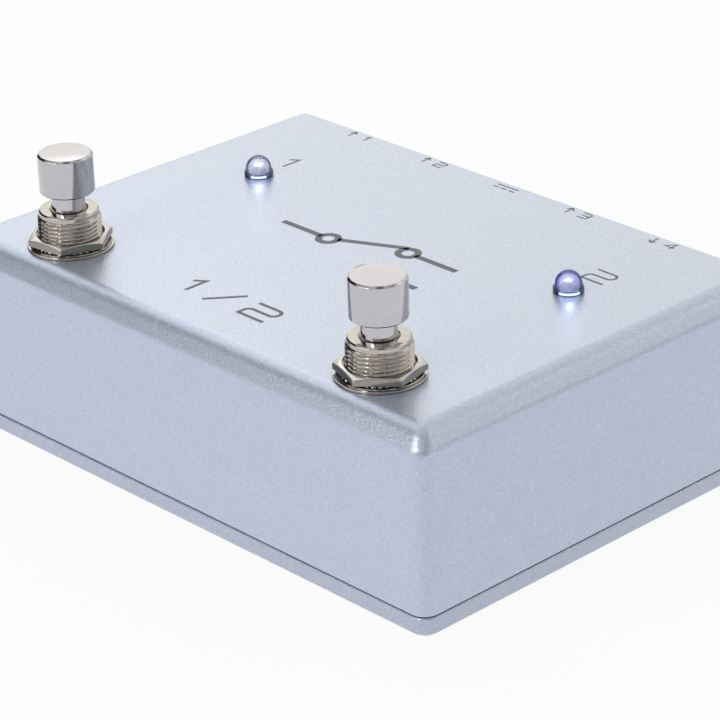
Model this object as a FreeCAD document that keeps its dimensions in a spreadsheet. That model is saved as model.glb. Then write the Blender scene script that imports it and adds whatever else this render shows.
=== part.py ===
"""A two-button A/B switch pedal in a die-cast box, as separate pieces in one frame.

The frame is in millimetres, with +Z up and its origin at the centre of the underside.
+X runs along the front edge, where the two foot buttons are, and +Y to the rear wall,
where the sockets are.
"""
import FreeCAD, Part
import math
import os
import re

import Sketcher

V = FreeCAD.Vector

# Driving dimensions in millimetres: name, value, what it measures
SIZES = (
    # Box
    ("box_width", 128.2, "outside, along X, at the parting line"),
    ("box_depth", 93.7, "outside, along Y, at the parting line"),
    ("box_height", 37.9, "underside to the top panel"),
    ("wall", 2.3, "side wall thickness"),
    ("panel_thickness", 2.3, "top panel thickness"),
    ("wall_draft", 0.5, "how far each wall leans in, foot to bevel"),
    ("bevel_inset", 2.5, "top bevel, across"),
    ("bevel_drop", 3.7, "top bevel, down"),
    ("panel_edge_round", 3.0, "soft edge between the bevel and the panel"),
    ("corner_radius", 3.0, "upright corners of the box"),
    ("panel_corner_radius", 2.2, "corners of the top panel"),
    ("inner_bevel", 1.2, "slope between the walls and the panel, inside"),
    ("post_size", 7.2, "screw post, from the inside of the wall"),
    ("cover_height", 3.65, "height of the base cover's rim"),
    ("cover_floor", 2.2, "thickness of the base cover's floor"),
    ("cover_edge", 0.4, "bevel round the foot of the base cover"),
    ("lip_height", 1.4, "locating lip above the parting line"),
    ("lip_width", 1.3, "locating lip, across"),
    ("lip_clearance", 0.25, "locating lip to the inside of the wall"),
    # Cover screws
    ("screw_inset", 5.8, "screw axis in from the box's sides"),
    ("screw_diameter", 3.4, "thread of a cover screw"),
    ("screw_length", 11.0, "cover screw, end to end"),
    ("screw_head", 6.8, "countersunk head"),
    ("screw_slot_width", 1.1, "one arm of the cross recess"),
    ("screw_slot_length", 3.6, "cross recess, tip to tip"),
    ("screw_slot_depth", 1.3, "cross recess"),
    ("screw_clearance", 0.25, "screw to its hole in the cover, on the diameter"),
    ("thread_clearance", 0.08, "a thread to its hole, on the diameter"),
    # Foot switches
    ("switch_side", 22.5, "switch axis in from the box's side"),
    ("switch_front", 12.55, "switch axis in from the box's front"),
    ("bushing_diameter", 12.0, "threaded bushing"),
    ("bushing_rise", 7.5, "top of the bushing over the panel"),
    ("bushing_hole_clearance", 0.3, "bushing to the panel's hole, on the diameter"),
    ("bushing_edge", 0.3, "chamfer at the top of the bushing"),
    ("bushing_mouth", 0.45, "chamfer at the mouth of the bushing's bore"),
    ("bushing_land", 1.0, "plain band above the thread"),
    ("bushing_land_diameter", 11.3, "plain band above the thread"),
    ("thread_pitch", 0.794, "thread of the bushing"),
    ("thread_depth", 0.42, "thread of the bushing"),
    ("thread_grooves", 6, "grooves shown above the nut"),
    ("washer_diameter", 16.4, "flat washer on the panel"),
    ("washer_thickness", 0.5, "flat washer"),
    ("lock_washer_diameter", 15.4, "toothed washer under the nut"),
    ("lock_washer_thickness", 0.55, "toothed washer"),
    ("lock_washer_teeth", 18, "teeth of the toothed washer"),
    ("tooth_gap", 1.0, "gap between two teeth"),
    ("tooth_length", 1.0, "how far a gap cuts in from the rim"),
    ("washer_clearance", 0.2, "washers to the bushing, on the diameter"),
    ("nut_flats", 14.3, "hex nut, across its flats"),
    ("nut_height", 1.6, "hex nut"),
    ("nut_chamfer", 0.45, "how far the nut's corners are turned down"),
    ("nut_turn_a", 7.5, "turn of the left nut, in degrees"),
    ("nut_turn_b", 42.0, "turn of the right nut, in degrees"),
    ("back_nut_height", 2.0, "hex nut under the panel"),
    ("plunger_diameter", 6.4, "plunger in the bushing"),
    ("plunger_clearance", 0.1, "plunger to the bushing, on the diameter"),
    ("plunger_gap", 3.4, "bushing's top to the cap's underside"),
    ("press_travel", 2.9, "how far a button goes down"),
    ("spigot_diameter", 4.4, "plunger's end inside the cap"),
    ("spigot_length", 4.0, "plunger's end inside the cap"),
    ("spigot_clearance", 0.04, "plunger's end to the cap, on the diameter"),
    ("cap_diameter", 10.4, "button cap"),
    ("cap_height", 7.7, "button cap"),
    ("cap_top_edge", 0.35, "chamfer at the cap's top"),
    ("cap_foot_edge", 0.3, "chamfer at the cap's foot"),
    ("collar_diameter", 8.6, "stop collar on the plunger"),
    ("collar_height", 1.5, "stop collar on the plunger"),
    ("collar_gap", 0.05, "stop collar to the bushing"),
    ("rod_diameter", 3.2, "plunger's rod below the collar"),
    ("rod_clearance", 0.3, "rod to the housing's hole, on the diameter"),
    ("frame_sheet", 1.0, "sheet of the switch frame"),
    ("frame_width", 13.0, "switch frame, along Y"),
    ("frame_tab", 1.3, "how far a frame tab turns in under the base"),
    ("stem_length", 1.3, "bare foot of the bushing above the frame"),
    ("stem_diameter", 10.0, "foot of the bushing in the frame"),
    ("housing_width", 15.8, "switch housing, along X"),
    ("housing_depth", 16.6, "switch housing, along Y"),
    ("housing_height", 17.4, "switch housing"),
    ("housing_wall", 1.6, "wall of the contact chamber"),
    ("housing_clearance", 0.05, "housing to the frame and the base to its slots"),
    ("well_diameter", 9.4, "spring well in the housing"),
    ("well_depth", 9.0, "spring well in the housing"),
    ("shelf_thickness", 1.5, "shelf under the spring"),
    ("base_thickness", 1.8, "terminal base of the switch"),
    ("lug_width", 2.4, "solder lug"),
    ("lug_thickness", 0.8, "solder lug"),
    ("lug_length", 4.3, "solder lug below the base"),
    ("lug_hole", 1.2, "hole in a solder lug"),
    ("lug_pitch_x", 4.7, "solder lugs, along X"),
    ("lug_row_y", 4.6, "row of solder lugs from the switch axis"),
    ("contact_height", 0.5, "fixed contact on the base"),
    ("contact_width", 3.0, "fixed contact, along X"),
    ("contact_depth", 2.4, "fixed contact, along Y"),
    ("contact_gap", 0.1, "contacts apart with the button down"),
    ("bridge_width", 2.4, "moving contact, along X"),
    ("bridge_thickness", 0.5, "moving contact"),
    ("bridge_length", 11.2, "moving contact, along Y"),
    ("carrier_height", 2.6, "contact carrier"),
    ("carrier_clearance", 0.5, "contact carrier to the chamber's walls"),
    ("spring_wire", 0.5, "wire of the return spring"),
    ("spring_diameter", 6.4, "return spring, middle of the wire"),
    ("spring_turns", 6, "turns of the return spring"),
    ("spring_gap", 0.05, "return spring to its seats"),
    # Indicator lamps
    ("led_side", 22.7, "lamp axis in from the box's side"),
    ("led_rear", 33.75, "lamp axis in from the box's rear"),
    ("led_flange", 5.7, "flange of a lamp, diameter"),
    ("led_flange_height", 0.9, "flange of a lamp"),
    ("led_diameter", 5.0, "lens of a lamp"),
    ("led_height", 4.05, "lens over the panel"),
    ("led_lead", 0.5, "lead wire, square"),
    ("led_pitch", 2.54, "lead to lead"),
    ("sleeve_diameter", 4.4, "sleeve round the leads"),
    ("sleeve_bore", 3.5, "bore of that sleeve"),
    ("sleeve_lift", 0.6, "sleeve's foot above the board"),
    ("sleeve_clearance", 0.2, "sleeve to the panel's hole, on the diameter"),
    # Socket row
    ("outer_socket_side", 23.5, "outer socket axis in from the box's side"),
    ("inner_socket_shift", 0.15, "inner socket outwards of midway between its neighbours"),
    ("socket_body_width", 15.6, "moulded socket body, along X"),
    ("socket_body_height", 16.0, "moulded socket body"),
    ("socket_body_length", 25.0, "moulded socket body, along Y"),
    ("socket_nose", 9.4, "threaded nose of a socket"),
    ("socket_nose_tip", 1.2, "nose past its nut"),
    ("socket_nose_edge", 0.4, "chamfer at the nose's rim"),
    ("socket_bore", 6.5, "bore for a 6.35 mm plug"),
    ("socket_bore_length", 18.0, "bore at that size from the nose's rim"),
    ("socket_bore_depth", 31.2, "room for the plug from the nose's rim"),
    ("socket_chamber", 7.4, "wider chamber behind the bore"),
    ("socket_hole_clearance", 0.3, "nose to the wall's hole, on the diameter"),
    ("socket_washer_diameter", 14.0, "washer of a socket"),
    ("socket_washer_thickness", 0.8, "washer of a socket"),
    ("socket_nut_flats", 12.7, "nut of a socket, across its flats"),
    ("socket_nut_height", 2.4, "nut of a socket"),
    ("slot_width", 4.2, "slot over the tip spring"),
    ("slot_length", 12.5, "slot over the tip spring"),
    ("slot_inset", 1.5, "slot to the body's back end"),
    ("tip_spring_width", 3.4, "tip spring"),
    ("tip_spring_sheet", 0.4, "sheet of the tip spring"),
    ("tip_spring_reach", 10.5, "tip spring's bend from the body's back end"),
    ("tip_spring_point", 5.2, "where it presses, from the body's back end"),
    ("tip_spring_height", 2.7, "where it presses, above the bore's axis"),
    ("pin_length", 1.2, "a pin below the board"),
    ("sleeve_pin_place", 13.5, "sleeve contact, from the inside of the wall"),
    ("sleeve_pin_width", 3.0, "sleeve contact"),
    ("sleeve_pin_sheet", 0.5, "sleeve contact"),
    ("sleeve_pin_clearance", 0.15, "sleeve contact to its slot, each side"),
    # Power socket
    ("power_width", 11.0, "power socket body, along X"),
    ("power_height", 11.0, "power socket body"),
    ("power_length", 13.0, "power socket body, along Y"),
    ("power_axis", 6.4, "power socket's axis above the board"),
    ("power_nose", 8.4, "round nose of the power socket"),
    ("power_hole_clearance", 0.4, "nose to the wall's hole, on the diameter"),
    ("power_bore", 5.7, "bore for a 5.5 mm plug"),
    ("power_bore_depth", 11.0, "bore from the nose's rim"),
    ("power_pin_diameter", 2.1, "centre pin"),
    ("power_pin_inset", 1.0, "centre pin behind the rim"),
    ("power_tab_width", 2.0, "solder tab of the power socket"),
    ("power_tab_sheet", 0.4, "solder tab of the power socket"),
    # Circuit board
    ("board_side_gap", 10.6, "circuit board in from the box's sides"),
    ("board_front_gap", 6.0, "circuit board to the switch housings"),
    ("board_rear_gap", 1.2, "board to the rear wall"),
    ("board_thickness", 1.6, "circuit board"),
    ("board_drop", 25.9, "top face of the board below the panel's top"),
    ("pin_clearance", 0.2, "a pin to its hole in the board, each side"),
    ("relay_length", 14.0, "relay, along X"),
    ("relay_width", 9.0, "relay, along Y"),
    ("relay_height", 5.2, "relay"),
    ("relay_x", 15.0, "relay from the middle of the box"),
    ("relay_y", 6.0, "relays in front of the middle of the box"),
    ("chip_length", 9.6, "control chip, along X"),
    ("chip_width", 6.4, "control chip, along Y"),
    ("chip_height", 3.4, "control chip"),
    ("chip_y", 9.0, "chip behind the middle of the box"),
    ("capacitor_diameter", 6.3, "electrolytic capacitor"),
    ("capacitor_height", 11.0, "electrolytic capacitor"),
    ("capacitor_x", 27.0, "capacitors from the middle of the box"),
    ("capacitor_y", 8.0, "capacitors behind the middle of the box"),
    ("resistor_diameter", 2.3, "resistor body"),
    ("resistor_length", 6.3, "resistor body, along X"),
    ("resistor_span", 10.2, "resistor, leg to leg"),
    ("resistor_leg", 0.6, "leg wire, square"),
    ("resistor_lift", 1.6, "resistor's axis over the board"),
    ("resistor_pitch", 4.0, "resistor to resistor"),
    ("resistor_count", 3, "resistors in a row"),
    ("resistor_x", 31.0, "resistor rows from the middle of the box"),
    ("resistor_y", 5.0, "last resistor in front of the middle"),
    # Wires from the switches to the board
    ("wire_diameter", 1.3, "insulated wire"),
    ("wire_landing", 3.5, "wire's end behind the board's front edge"),
    ("wire_bend", 1.3, "bend of a wire, at its middle"),
    ("wire_drop", 2.2, "wire's middle below the board's underside"),
)

# Places and levels worked out from the driving dimensions
DERIVED = {
    "half_width": "box_width / 2",
    "half_depth": "box_depth / 2",
    "panel_under": "box_height - panel_thickness",
    "bevel_foot": "box_height - bevel_drop",
    "bevel_turn": "atan(bevel_drop / bevel_inset)",
    "soft_reach": "panel_edge_round * tan(bevel_turn / 2)",
    "switch_x": "half_width - switch_side",
    "switch_y": "half_depth - switch_front",
    "led_x": "half_width - led_side",
    "led_y": "half_depth - led_rear",
    "outer_socket_x": "half_width - outer_socket_side",
    "inner_socket_x": "(outer_socket_x - socket_body_width / 2 + power_width / 2) / 2 + inner_socket_shift",
    "board_width": "box_width - 2 * board_side_gap",
    "board_front": "switch_y - housing_depth / 2 - board_front_gap",
    "board_level": "box_height - board_drop",
    "screw_x": "half_width - screw_inset",
    "screw_y": "half_depth - screw_inset",
    "bushing_top": "box_height + bushing_rise",
    "nut_foot": "box_height + washer_thickness + lock_washer_thickness",
    "back_nut_foot": "panel_under - back_nut_height",
    "frame_top": "back_nut_foot - stem_length",
    "housing_top": "frame_top - frame_sheet",
    "housing_foot": "housing_top - housing_height",
    "base_foot": "housing_foot - base_thickness",
    "lug_foot": "base_foot - lug_length",
    "shelf_top": "housing_top - well_depth",
    "shelf_foot": "shelf_top - shelf_thickness",
    "cap_foot": "bushing_top + plunger_gap",
    "cap_top": "cap_foot + cap_height",
    "collar_top": "housing_top - collar_gap",
    "collar_foot": "collar_top - collar_height",
    "contact_top": "housing_foot + contact_height",
    "bridge_foot": "contact_top + contact_gap + press_travel",
    "carrier_foot": "bridge_foot + bridge_thickness",
    "carrier_top": "carrier_foot + carrier_height",
    "bushing_bore": "plunger_diameter + plunger_clearance",
    "chamber_width": "housing_width - 2 * housing_wall",
    "chamber_depth": "housing_depth - 2 * housing_wall",
    "socket_seat": "half_depth - wall - wall_draft",
    "socket_axis": "board_level + socket_body_height / 2",
    "socket_back": "socket_seat - socket_body_length",
    "socket_washer_face": "half_depth",
    "socket_nut_face": "socket_washer_face + socket_washer_thickness",
    "socket_rim": "socket_nut_face + socket_nut_height + socket_nose_tip",
    "board_under": "board_level - board_thickness",
    "board_rear": "half_depth - wall - wall_draft - board_rear_gap",
    "pin_foot": "board_under - pin_length",
    "tip_leg": "socket_back - tip_spring_sheet",
    "sleeve_pin_y": "socket_seat - sleeve_pin_place",
    "power_level": "board_level + power_axis",
    "power_back": "socket_seat - power_length",
    "power_rim": "half_depth",
    "wire_level": "board_under - wire_drop",
    "lug_face_y": "-switch_y + lug_row_y + lug_thickness / 2",
    "wire_end_y": "-board_front + wire_landing",
}

# The tilt of each plane's own normal against the axis it stands for
FACING = {"XY_Plane": 1, "XZ_Plane": -1, "YZ_Plane": 1}

SIDES = (("a", -1), ("b", 1))
SOCKETS = (
    ("output_a", "-outer_socket_x"),
    ("output_b", "-inner_socket_x"),
    ("thru", "inner_socket_x"),
    ("input", "outer_socket_x"),
)
CORNERS = ((-1, -1), (1, -1), (1, 1), (-1, 1))
HEX_STEP = 60
EDGE_STEPS = 4
LEVEL_TOLERANCE = 1e-4
CUTTING = ("PartDesign::Pocket", "PartDesign::Groove", "PartDesign::SubtractiveLoft")

doc = FreeCAD.newDocument("switch_pedal")
sheet = doc.addObject("Spreadsheet::Sheet", "Sizes")
for row, (alias, number, meaning) in enumerate(SIZES, start=1):
    sheet.set(f"A{row}", alias)
    sheet.set(f"B{row}", str(number))
    sheet.set(f"C{row}", meaning)
    sheet.setAlias(f"B{row}", alias)
doc.recompute()
CELLS = {alias for alias, number, meaning in SIZES}
NODES = []


def expand(text):
    """Write each name in a size expression as its cell, or as its own formula."""
    def swap(match):
        word = match.group(0)
        if word in DERIVED:
            return "(" + expand(DERIVED[word]) + ")"
        return "Sizes." + word if word in CELLS else word
    return re.sub(r"[A-Za-z_]\w*", swap, text)


def value(text):
    """Give a size expression as a number."""
    return float(sheet.evalExpression(expand(text)))


def body(name, x="0", y="0"):
    """Start a piece whose own Z axis stands at (x, y)."""
    piece = doc.addObject("PartDesign::Body", name)
    piece.setExpression("Placement.Base.x", expand(x))
    piece.setExpression("Placement.Base.y", expand(y))
    NODES.append(piece)
    return piece


def sketch(piece, name, plane="XY_Plane", offset="0"):
    """Attach a sketch to one of the piece's own planes, moved along that plane's axis."""
    flat = next(one for one in piece.Origin.OriginFeatures if one.Role == plane)
    drawing = piece.newObject("Sketcher::SketchObject", name)
    drawing.AttachmentSupport = [(flat, "")]
    drawing.MapMode = "FlatFace"
    drawing.setExpression("AttachmentOffset.Base.z", expand(f"{FACING[plane]} * ({offset})"))
    return drawing


def arc_through(start, end, radius):
    """Make the arc that turns left from start to end."""
    chord = end - start
    half = chord.Length / 2
    rise = math.sqrt(max(radius ** 2 - half ** 2, 0.0))
    left = V(-chord.y, chord.x, 0).normalize()
    centre = (start + end) / 2 + left * rise
    first = math.atan2(start.y - centre.y, start.x - centre.x)
    last = math.atan2(end.y - centre.y, end.x - centre.x)
    return Part.ArcOfCircle(Part.Circle(centre, V(0, 0, 1), radius), first, last)


def pin_point(drawing, edge, end, x, y):
    """Hold one end of an edge at (x, y) from the sketch's origin."""
    for kind, text in (("DistanceX", x), ("DistanceY", y)):
        number = drawing.addConstraint(Sketcher.Constraint(kind, -1, 1, edge, end, value(text)))
        drawing.setExpression(f"Constraints[{number}]", expand(text))


def outline(drawing, points, rounds=None):
    """Close a loop through the points; a round turns left from its point to the next."""
    rounds = rounds or {}
    places = [V(value(x), value(y), 0) for x, y in points]
    first = drawing.GeometryCount
    count = len(points)
    for index, start in enumerate(places):
        end = places[(index + 1) % count]
        if index in rounds:
            drawing.addGeometry(arc_through(start, end, value(rounds[index])), False)
        else:
            drawing.addGeometry(Part.LineSegment(start, end), False)
    for index, (x, y) in enumerate(points):
        edge = first + index
        following = first + (index + 1) % count
        drawing.addConstraint(Sketcher.Constraint("Coincident", edge, 2, following, 1))
        pin_point(drawing, edge, 1, x, y)
        if index in rounds:
            radius = value(rounds[index])
            number = drawing.addConstraint(Sketcher.Constraint("Radius", edge, radius))
            drawing.setExpression(f"Constraints[{number}]", expand(rounds[index]))


def circle(drawing, diameter, x="0", y="0"):
    """Draw a circle about (x, y)."""
    place = V(value(x), value(y), 0)
    edge = drawing.addGeometry(Part.Circle(place, V(0, 0, 1), value(diameter) / 2), False)
    number = drawing.addConstraint(Sketcher.Constraint("Diameter", edge, value(diameter)))
    drawing.setExpression(f"Constraints[{number}]", expand(diameter))
    pin_point(drawing, edge, 3, x, y)


def rectangle(drawing, x, y, width, depth):
    """Draw a rectangle about (x, y)."""
    outline(drawing, [(f"{x} + {a} * ({width}) / 2", f"{y} + {b} * ({depth}) / 2") for a, b in CORNERS])


def hexagon(drawing, flats, turn="0", x="0", y="0"):
    """Draw a hexagon about (x, y), its first corner at the given turn in degrees."""
    corner = f"({flats}) / (2 * cos(30))"
    outline(drawing, [
        (f"{x} + {corner} * cos({turn} + {step})", f"{y} + {corner} * sin({turn} + {step})")
        for step in range(0, 360, HEX_STEP)
    ])


def rounded_rectangle(drawing, width, depth, radius):
    """Draw a rectangle with round corners about the origin."""
    reach_x = f"({width}) / 2"
    reach_y = f"({depth}) / 2"
    short_x = f"({width}) / 2 - ({radius})"
    short_y = f"({depth}) / 2 - ({radius})"
    points = [
        (short_x, f"-({reach_y})"), (reach_x, f"-({short_y})"),
        (reach_x, short_y), (short_x, reach_y),
        (f"-({short_x})", reach_y), (f"-({reach_x})", short_y),
        (f"-({reach_x})", f"-({short_y})"), (f"-({short_x})", f"-({reach_y})"),
    ]
    outline(drawing, points, {index: radius for index in (0, 2, 4, 6)})


def post_outline(drawing, inset):
    """Draw the inside of the walls round the four screw posts, moved in by an inset."""
    reach_x = f"half_width - wall - ({inset})"
    reach_y = f"half_depth - wall - ({inset})"
    step_x = f"half_width - wall - post_size - ({inset})"
    step_y = f"half_depth - wall - post_size - ({inset})"
    quarter = [(reach_x, step_y), (step_x, step_y), (step_x, reach_y)]
    points = []
    for sign_x, sign_y in ((1, 1), (-1, 1), (-1, -1), (1, -1)):
        corner = quarter if sign_x * sign_y > 0 else quarter[::-1]
        points += [(f"{sign_x} * ({x})", f"{sign_y} * ({y})") for x, y in corner]
    outline(drawing, points)


def pad(piece, drawing, name, length, onward=True):
    """Raise a sketch along its plane's axis, or against it."""
    feature = piece.newObject("PartDesign::Pad", name)
    feature.Profile = drawing
    feature.setExpression("Length", expand(length))
    feature.Reversed = onward == (drawing_facing(drawing) < 0)
    return feature


def pocket(piece, drawing, name, length, onward=False):
    """Cut a sketch into the piece against its plane's axis, or along it."""
    feature = piece.newObject("PartDesign::Pocket", name)
    feature.Profile = drawing
    feature.setExpression("Length", expand(length))
    feature.Reversed = onward == (drawing_facing(drawing) > 0)
    return feature


def drawing_facing(drawing):
    """Tell whether a sketch's normal points along its plane's axis."""
    return FACING[drawing.AttachmentSupport[0][0].Role]


def revolve(piece, drawing, name, kind="Revolution"):
    """Turn a sketch through a whole turn about its own upright axis."""
    feature = piece.newObject("PartDesign::" + kind, name)
    feature.Profile = drawing
    feature.ReferenceAxis = (drawing, ["V_Axis"])
    feature.Angle = 360.0
    return feature


def loft(piece, drawings, name, kind="AdditiveLoft"):
    """Join sketches with straight faces."""
    feature = piece.newObject("PartDesign::" + kind, name)
    feature.Profile = drawings[0]
    feature.Sections = drawings[1:]
    feature.Ruled = True
    return feature


def chamfer_rims(piece, name, axis, level, size):
    """Bevel the round edges of a piece that lie flat at one level of an axis."""
    doc.recompute()
    cut = piece.Tip
    names = []
    for number, edge in enumerate(cut.Shape.Edges, start=1):
        box = edge.BoundBox
        spread = [abs(getattr(box, axis + end) - level) for end in ("Min", "Max")]
        if max(spread) < LEVEL_TOLERANCE and edge.isClosed():
            names.append(f"Edge{number}")
    bevel = piece.newObject("PartDesign::Chamfer", name)
    bevel.Base = (cut, names)
    bevel.setExpression("Size", expand(size))
    piece.Tip = bevel


def turned(name, points, x="0", y="0", rounds=None):
    """Make a round piece from half of its upright section."""
    piece = body(name, x, y)
    section = sketch(piece, name + "_section", "XZ_Plane")
    outline(section, points, rounds)
    revolve(piece, section, name + "_turned")
    return piece


def slab(name, shapes, foot, height, x="0", y="0"):
    """Make flat pieces from one sketch: each shape is a function that draws into it."""
    piece = body(name, x, y)
    plan = sketch(piece, name + "_plan", "XY_Plane", foot)
    for draw in shapes:
        draw(plan)
    pad(piece, plan, name + "_raised", height)
    return piece


def make_box():
    """Make the die-cast box: drafted walls, a bevelled panel with soft edges, posts and holes."""
    piece = body("enclosure_body")
    levels = [
        ("parting", "cover_height", "0", "corner_radius"),
        ("bevel", "bevel_foot", "wall_draft", "corner_radius"),
    ]
    for step in range(EDGE_STEPS, -1, -1):
        turn = f"bevel_turn * {step} / {EDGE_STEPS}"
        inset = f"wall_draft + bevel_inset + soft_reach - panel_edge_round * sin({turn})"
        fall = f"({inset} - wall_draft) / bevel_inset * (corner_radius - panel_corner_radius)"
        levels.append((f"edge_{step}", f"box_height - panel_edge_round * (1 - cos({turn}))", inset,
                       f"corner_radius - {fall}"))
    plans = []
    for name, level, inset, radius in levels:
        plan = sketch(piece, f"box_{name}", "XY_Plane", level)
        rounded_rectangle(plan, f"box_width - 2 * ({inset})", f"box_depth - 2 * ({inset})", radius)
        plans.append(plan)
    loft(piece, plans, "box_outside")
    inside = []
    for name, level, inset in (("mouth", "cover_height", "0"),
                               ("slope", "panel_under - inner_bevel", "wall_draft"),
                               ("ceiling", "panel_under", "wall_draft + inner_bevel")):
        plan = sketch(piece, f"box_{name}", "XY_Plane", level)
        post_outline(plan, inset)
        inside.append(plan)
    loft(piece, inside, "box_inside", "SubtractiveLoft")
    panel = sketch(piece, "panel_holes", "XY_Plane", "box_height")
    for side, sign in SIDES:
        circle(panel, "bushing_diameter + bushing_hole_clearance", f"{sign} * switch_x", "-switch_y")
        circle(panel, "sleeve_diameter + sleeve_clearance", f"{sign} * led_x", "led_y")
    pocket(piece, panel, "panel_drilling", "panel_thickness")
    rear = sketch(piece, "rear_holes", "XZ_Plane", "half_depth")
    for name, place in SOCKETS:
        circle(rear, "socket_nose + socket_hole_clearance", place, "socket_axis")
    circle(rear, "power_nose + power_hole_clearance", "0", "power_level")
    pocket(piece, rear, "rear_drilling", "2 * wall")
    posts = sketch(piece, "post_holes", "XY_Plane", "cover_height")
    for sign_x, sign_y in CORNERS:
        circle(posts, "screw_diameter + thread_clearance", f"{sign_x} * screw_x", f"{sign_y} * screw_y")
    pocket(piece, posts, "post_drilling", "screw_length", onward=True)


def make_cover():
    """Make the base cover: a shallow tray with a lip that locates inside the walls."""
    piece = body("base_cover")
    plans = []
    for name, level, inset in (("foot", "0", "cover_edge"), ("edge", "cover_edge", "0"),
                               ("rim", "cover_height", "0")):
        plan = sketch(piece, f"cover_{name}", "XY_Plane", level)
        rounded_rectangle(plan, f"box_width - 2 * {inset}", f"box_depth - 2 * {inset}",
                          f"corner_radius - {inset}")
        plans.append(plan)
    loft(piece, plans, "cover_outside")
    lip = sketch(piece, "cover_lip", "XY_Plane", "cover_height")
    post_outline(lip, "lip_clearance")
    pad(piece, lip, "cover_lip_raised", "lip_height")
    tray = sketch(piece, "cover_tray", "XY_Plane", "cover_floor")
    post_outline(tray, "lip_clearance + lip_width")
    pocket(piece, tray, "cover_tray_cut", "cover_height + lip_height", onward=True)
    holes = sketch(piece, "cover_holes", "XY_Plane", "0")
    for sign_x, sign_y in CORNERS:
        circle(holes, "screw_diameter + screw_clearance", f"{sign_x} * screw_x", f"{sign_y} * screw_y")
    pocket(piece, holes, "cover_drilling", "cover_height", onward=True)
    chamfer_rims(piece, "cover_countersinks", "Z", 0.0, "(screw_head - screw_diameter) / 2")


def make_cover_screws():
    """Make the four countersunk screws with cross recesses, as one group."""
    piece = body("cover_screws", "-screw_x", "-screw_y")
    section = sketch(piece, "screw_section", "XZ_Plane")
    outline(section, [
        ("0", "0"), ("screw_head / 2", "0"),
        ("screw_diameter / 2", "(screw_head - screw_diameter) / 2"),
        ("screw_diameter / 2", "screw_length"), ("0", "screw_length"),
    ])
    shank = revolve(piece, section, "screw_turned")
    cross = sketch(piece, "screw_cross", "XY_Plane")
    arm = "screw_slot_length / 2"
    half = "screw_slot_width / 2"
    outline(cross, [
        (arm, f"-{half}"), (arm, half), (half, half), (half, arm), (f"-{half}", arm), (f"-{half}", half),
        (f"-{arm}", half), (f"-{arm}", f"-{half}"), (f"-{half}", f"-{half}"), (f"-{half}", f"-{arm}"),
        (half, f"-{arm}"), (half, f"-{half}"),
    ])
    recess = pocket(piece, cross, "screw_recess", "screw_slot_depth", onward=True)
    repeat = piece.newObject("PartDesign::MultiTransform", "screw_repeat")
    repeat.Originals = [shank, recess]
    rows = []
    for role, span in (("X_Axis", "2 * screw_x"), ("Y_Axis", "2 * screw_y")):
        axis = next(one for one in piece.Origin.OriginFeatures if one.Role == role)
        line = piece.newObject("PartDesign::LinearPattern", f"screw_row_{role[0].lower()}")
        line.Direction = (axis, [""])
        line.setExpression("Length", expand(span))
        line.Occurrences = 2
        rows.append(line)
    repeat.Transformations = rows
    piece.Tip = repeat


def make_switch(side, sign):
    """Make one foot switch, from the cap down to its solder lugs."""
    x = f"{sign} * switch_x"
    y = "-switch_y"
    turned(f"switch_cap_{side}", [
        ("(spigot_diameter + spigot_clearance) / 2", "cap_foot"),
        ("cap_diameter / 2 - cap_foot_edge", "cap_foot"),
        ("cap_diameter / 2", "cap_foot + cap_foot_edge"),
        ("cap_diameter / 2", "cap_top - cap_top_edge"),
        ("cap_diameter / 2 - cap_top_edge", "cap_top"),
        ("0", "cap_top"),
        ("0", "cap_foot + spigot_length"),
        ("(spigot_diameter + spigot_clearance) / 2", "cap_foot + spigot_length"),
    ], x, y)
    turned(f"switch_plunger_{side}", [
        ("0", "carrier_foot + carrier_height / 2"),
        ("rod_diameter / 2", "carrier_foot + carrier_height / 2"),
        ("rod_diameter / 2", "collar_foot"),
        ("collar_diameter / 2", "collar_foot"),
        ("collar_diameter / 2", "collar_top"),
        ("plunger_diameter / 2", "collar_top"),
        ("plunger_diameter / 2", "cap_foot"),
        ("spigot_diameter / 2", "cap_foot"),
        ("spigot_diameter / 2", "cap_foot + spigot_length"),
        ("0", "cap_foot + spigot_length"),
    ], x, y)
    make_bushing(side, x, y)
    make_switch_nuts(side, x, y)
    make_switch_case(side, x, y)
    make_switch_contacts(side, x, y)


def make_bushing(side, x, y):
    """Make the threaded bushing, its thread as a stack of grooves above the nut."""
    outer = "bushing_diameter / 2"
    band = "bushing_land_diameter / 2"
    points = [
        ("bushing_bore / 2", "housing_top"), ("stem_diameter / 2", "housing_top"),
        ("stem_diameter / 2", "frame_top"), (outer, "frame_top"),
    ]
    grooves = int(value("thread_grooves"))
    for number in range(grooves, 0, -1):
        middle = f"bushing_top - bushing_land - ({number} - 0.5) * thread_pitch"
        points.append((outer, f"{middle} - thread_pitch * 0.45"))
        points.append((f"{outer} - thread_depth", middle))
        points.append((outer, f"{middle} + thread_pitch * 0.45"))
    points += [
        (band, "bushing_top - bushing_land"), (band, "bushing_top - bushing_edge"),
        (f"{band} - bushing_edge", "bushing_top"), ("bushing_bore / 2 + bushing_mouth", "bushing_top"),
        ("bushing_bore / 2", "bushing_top - bushing_mouth"),
    ]
    turned(f"switch_bushing_{side}", points, x, y)


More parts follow.
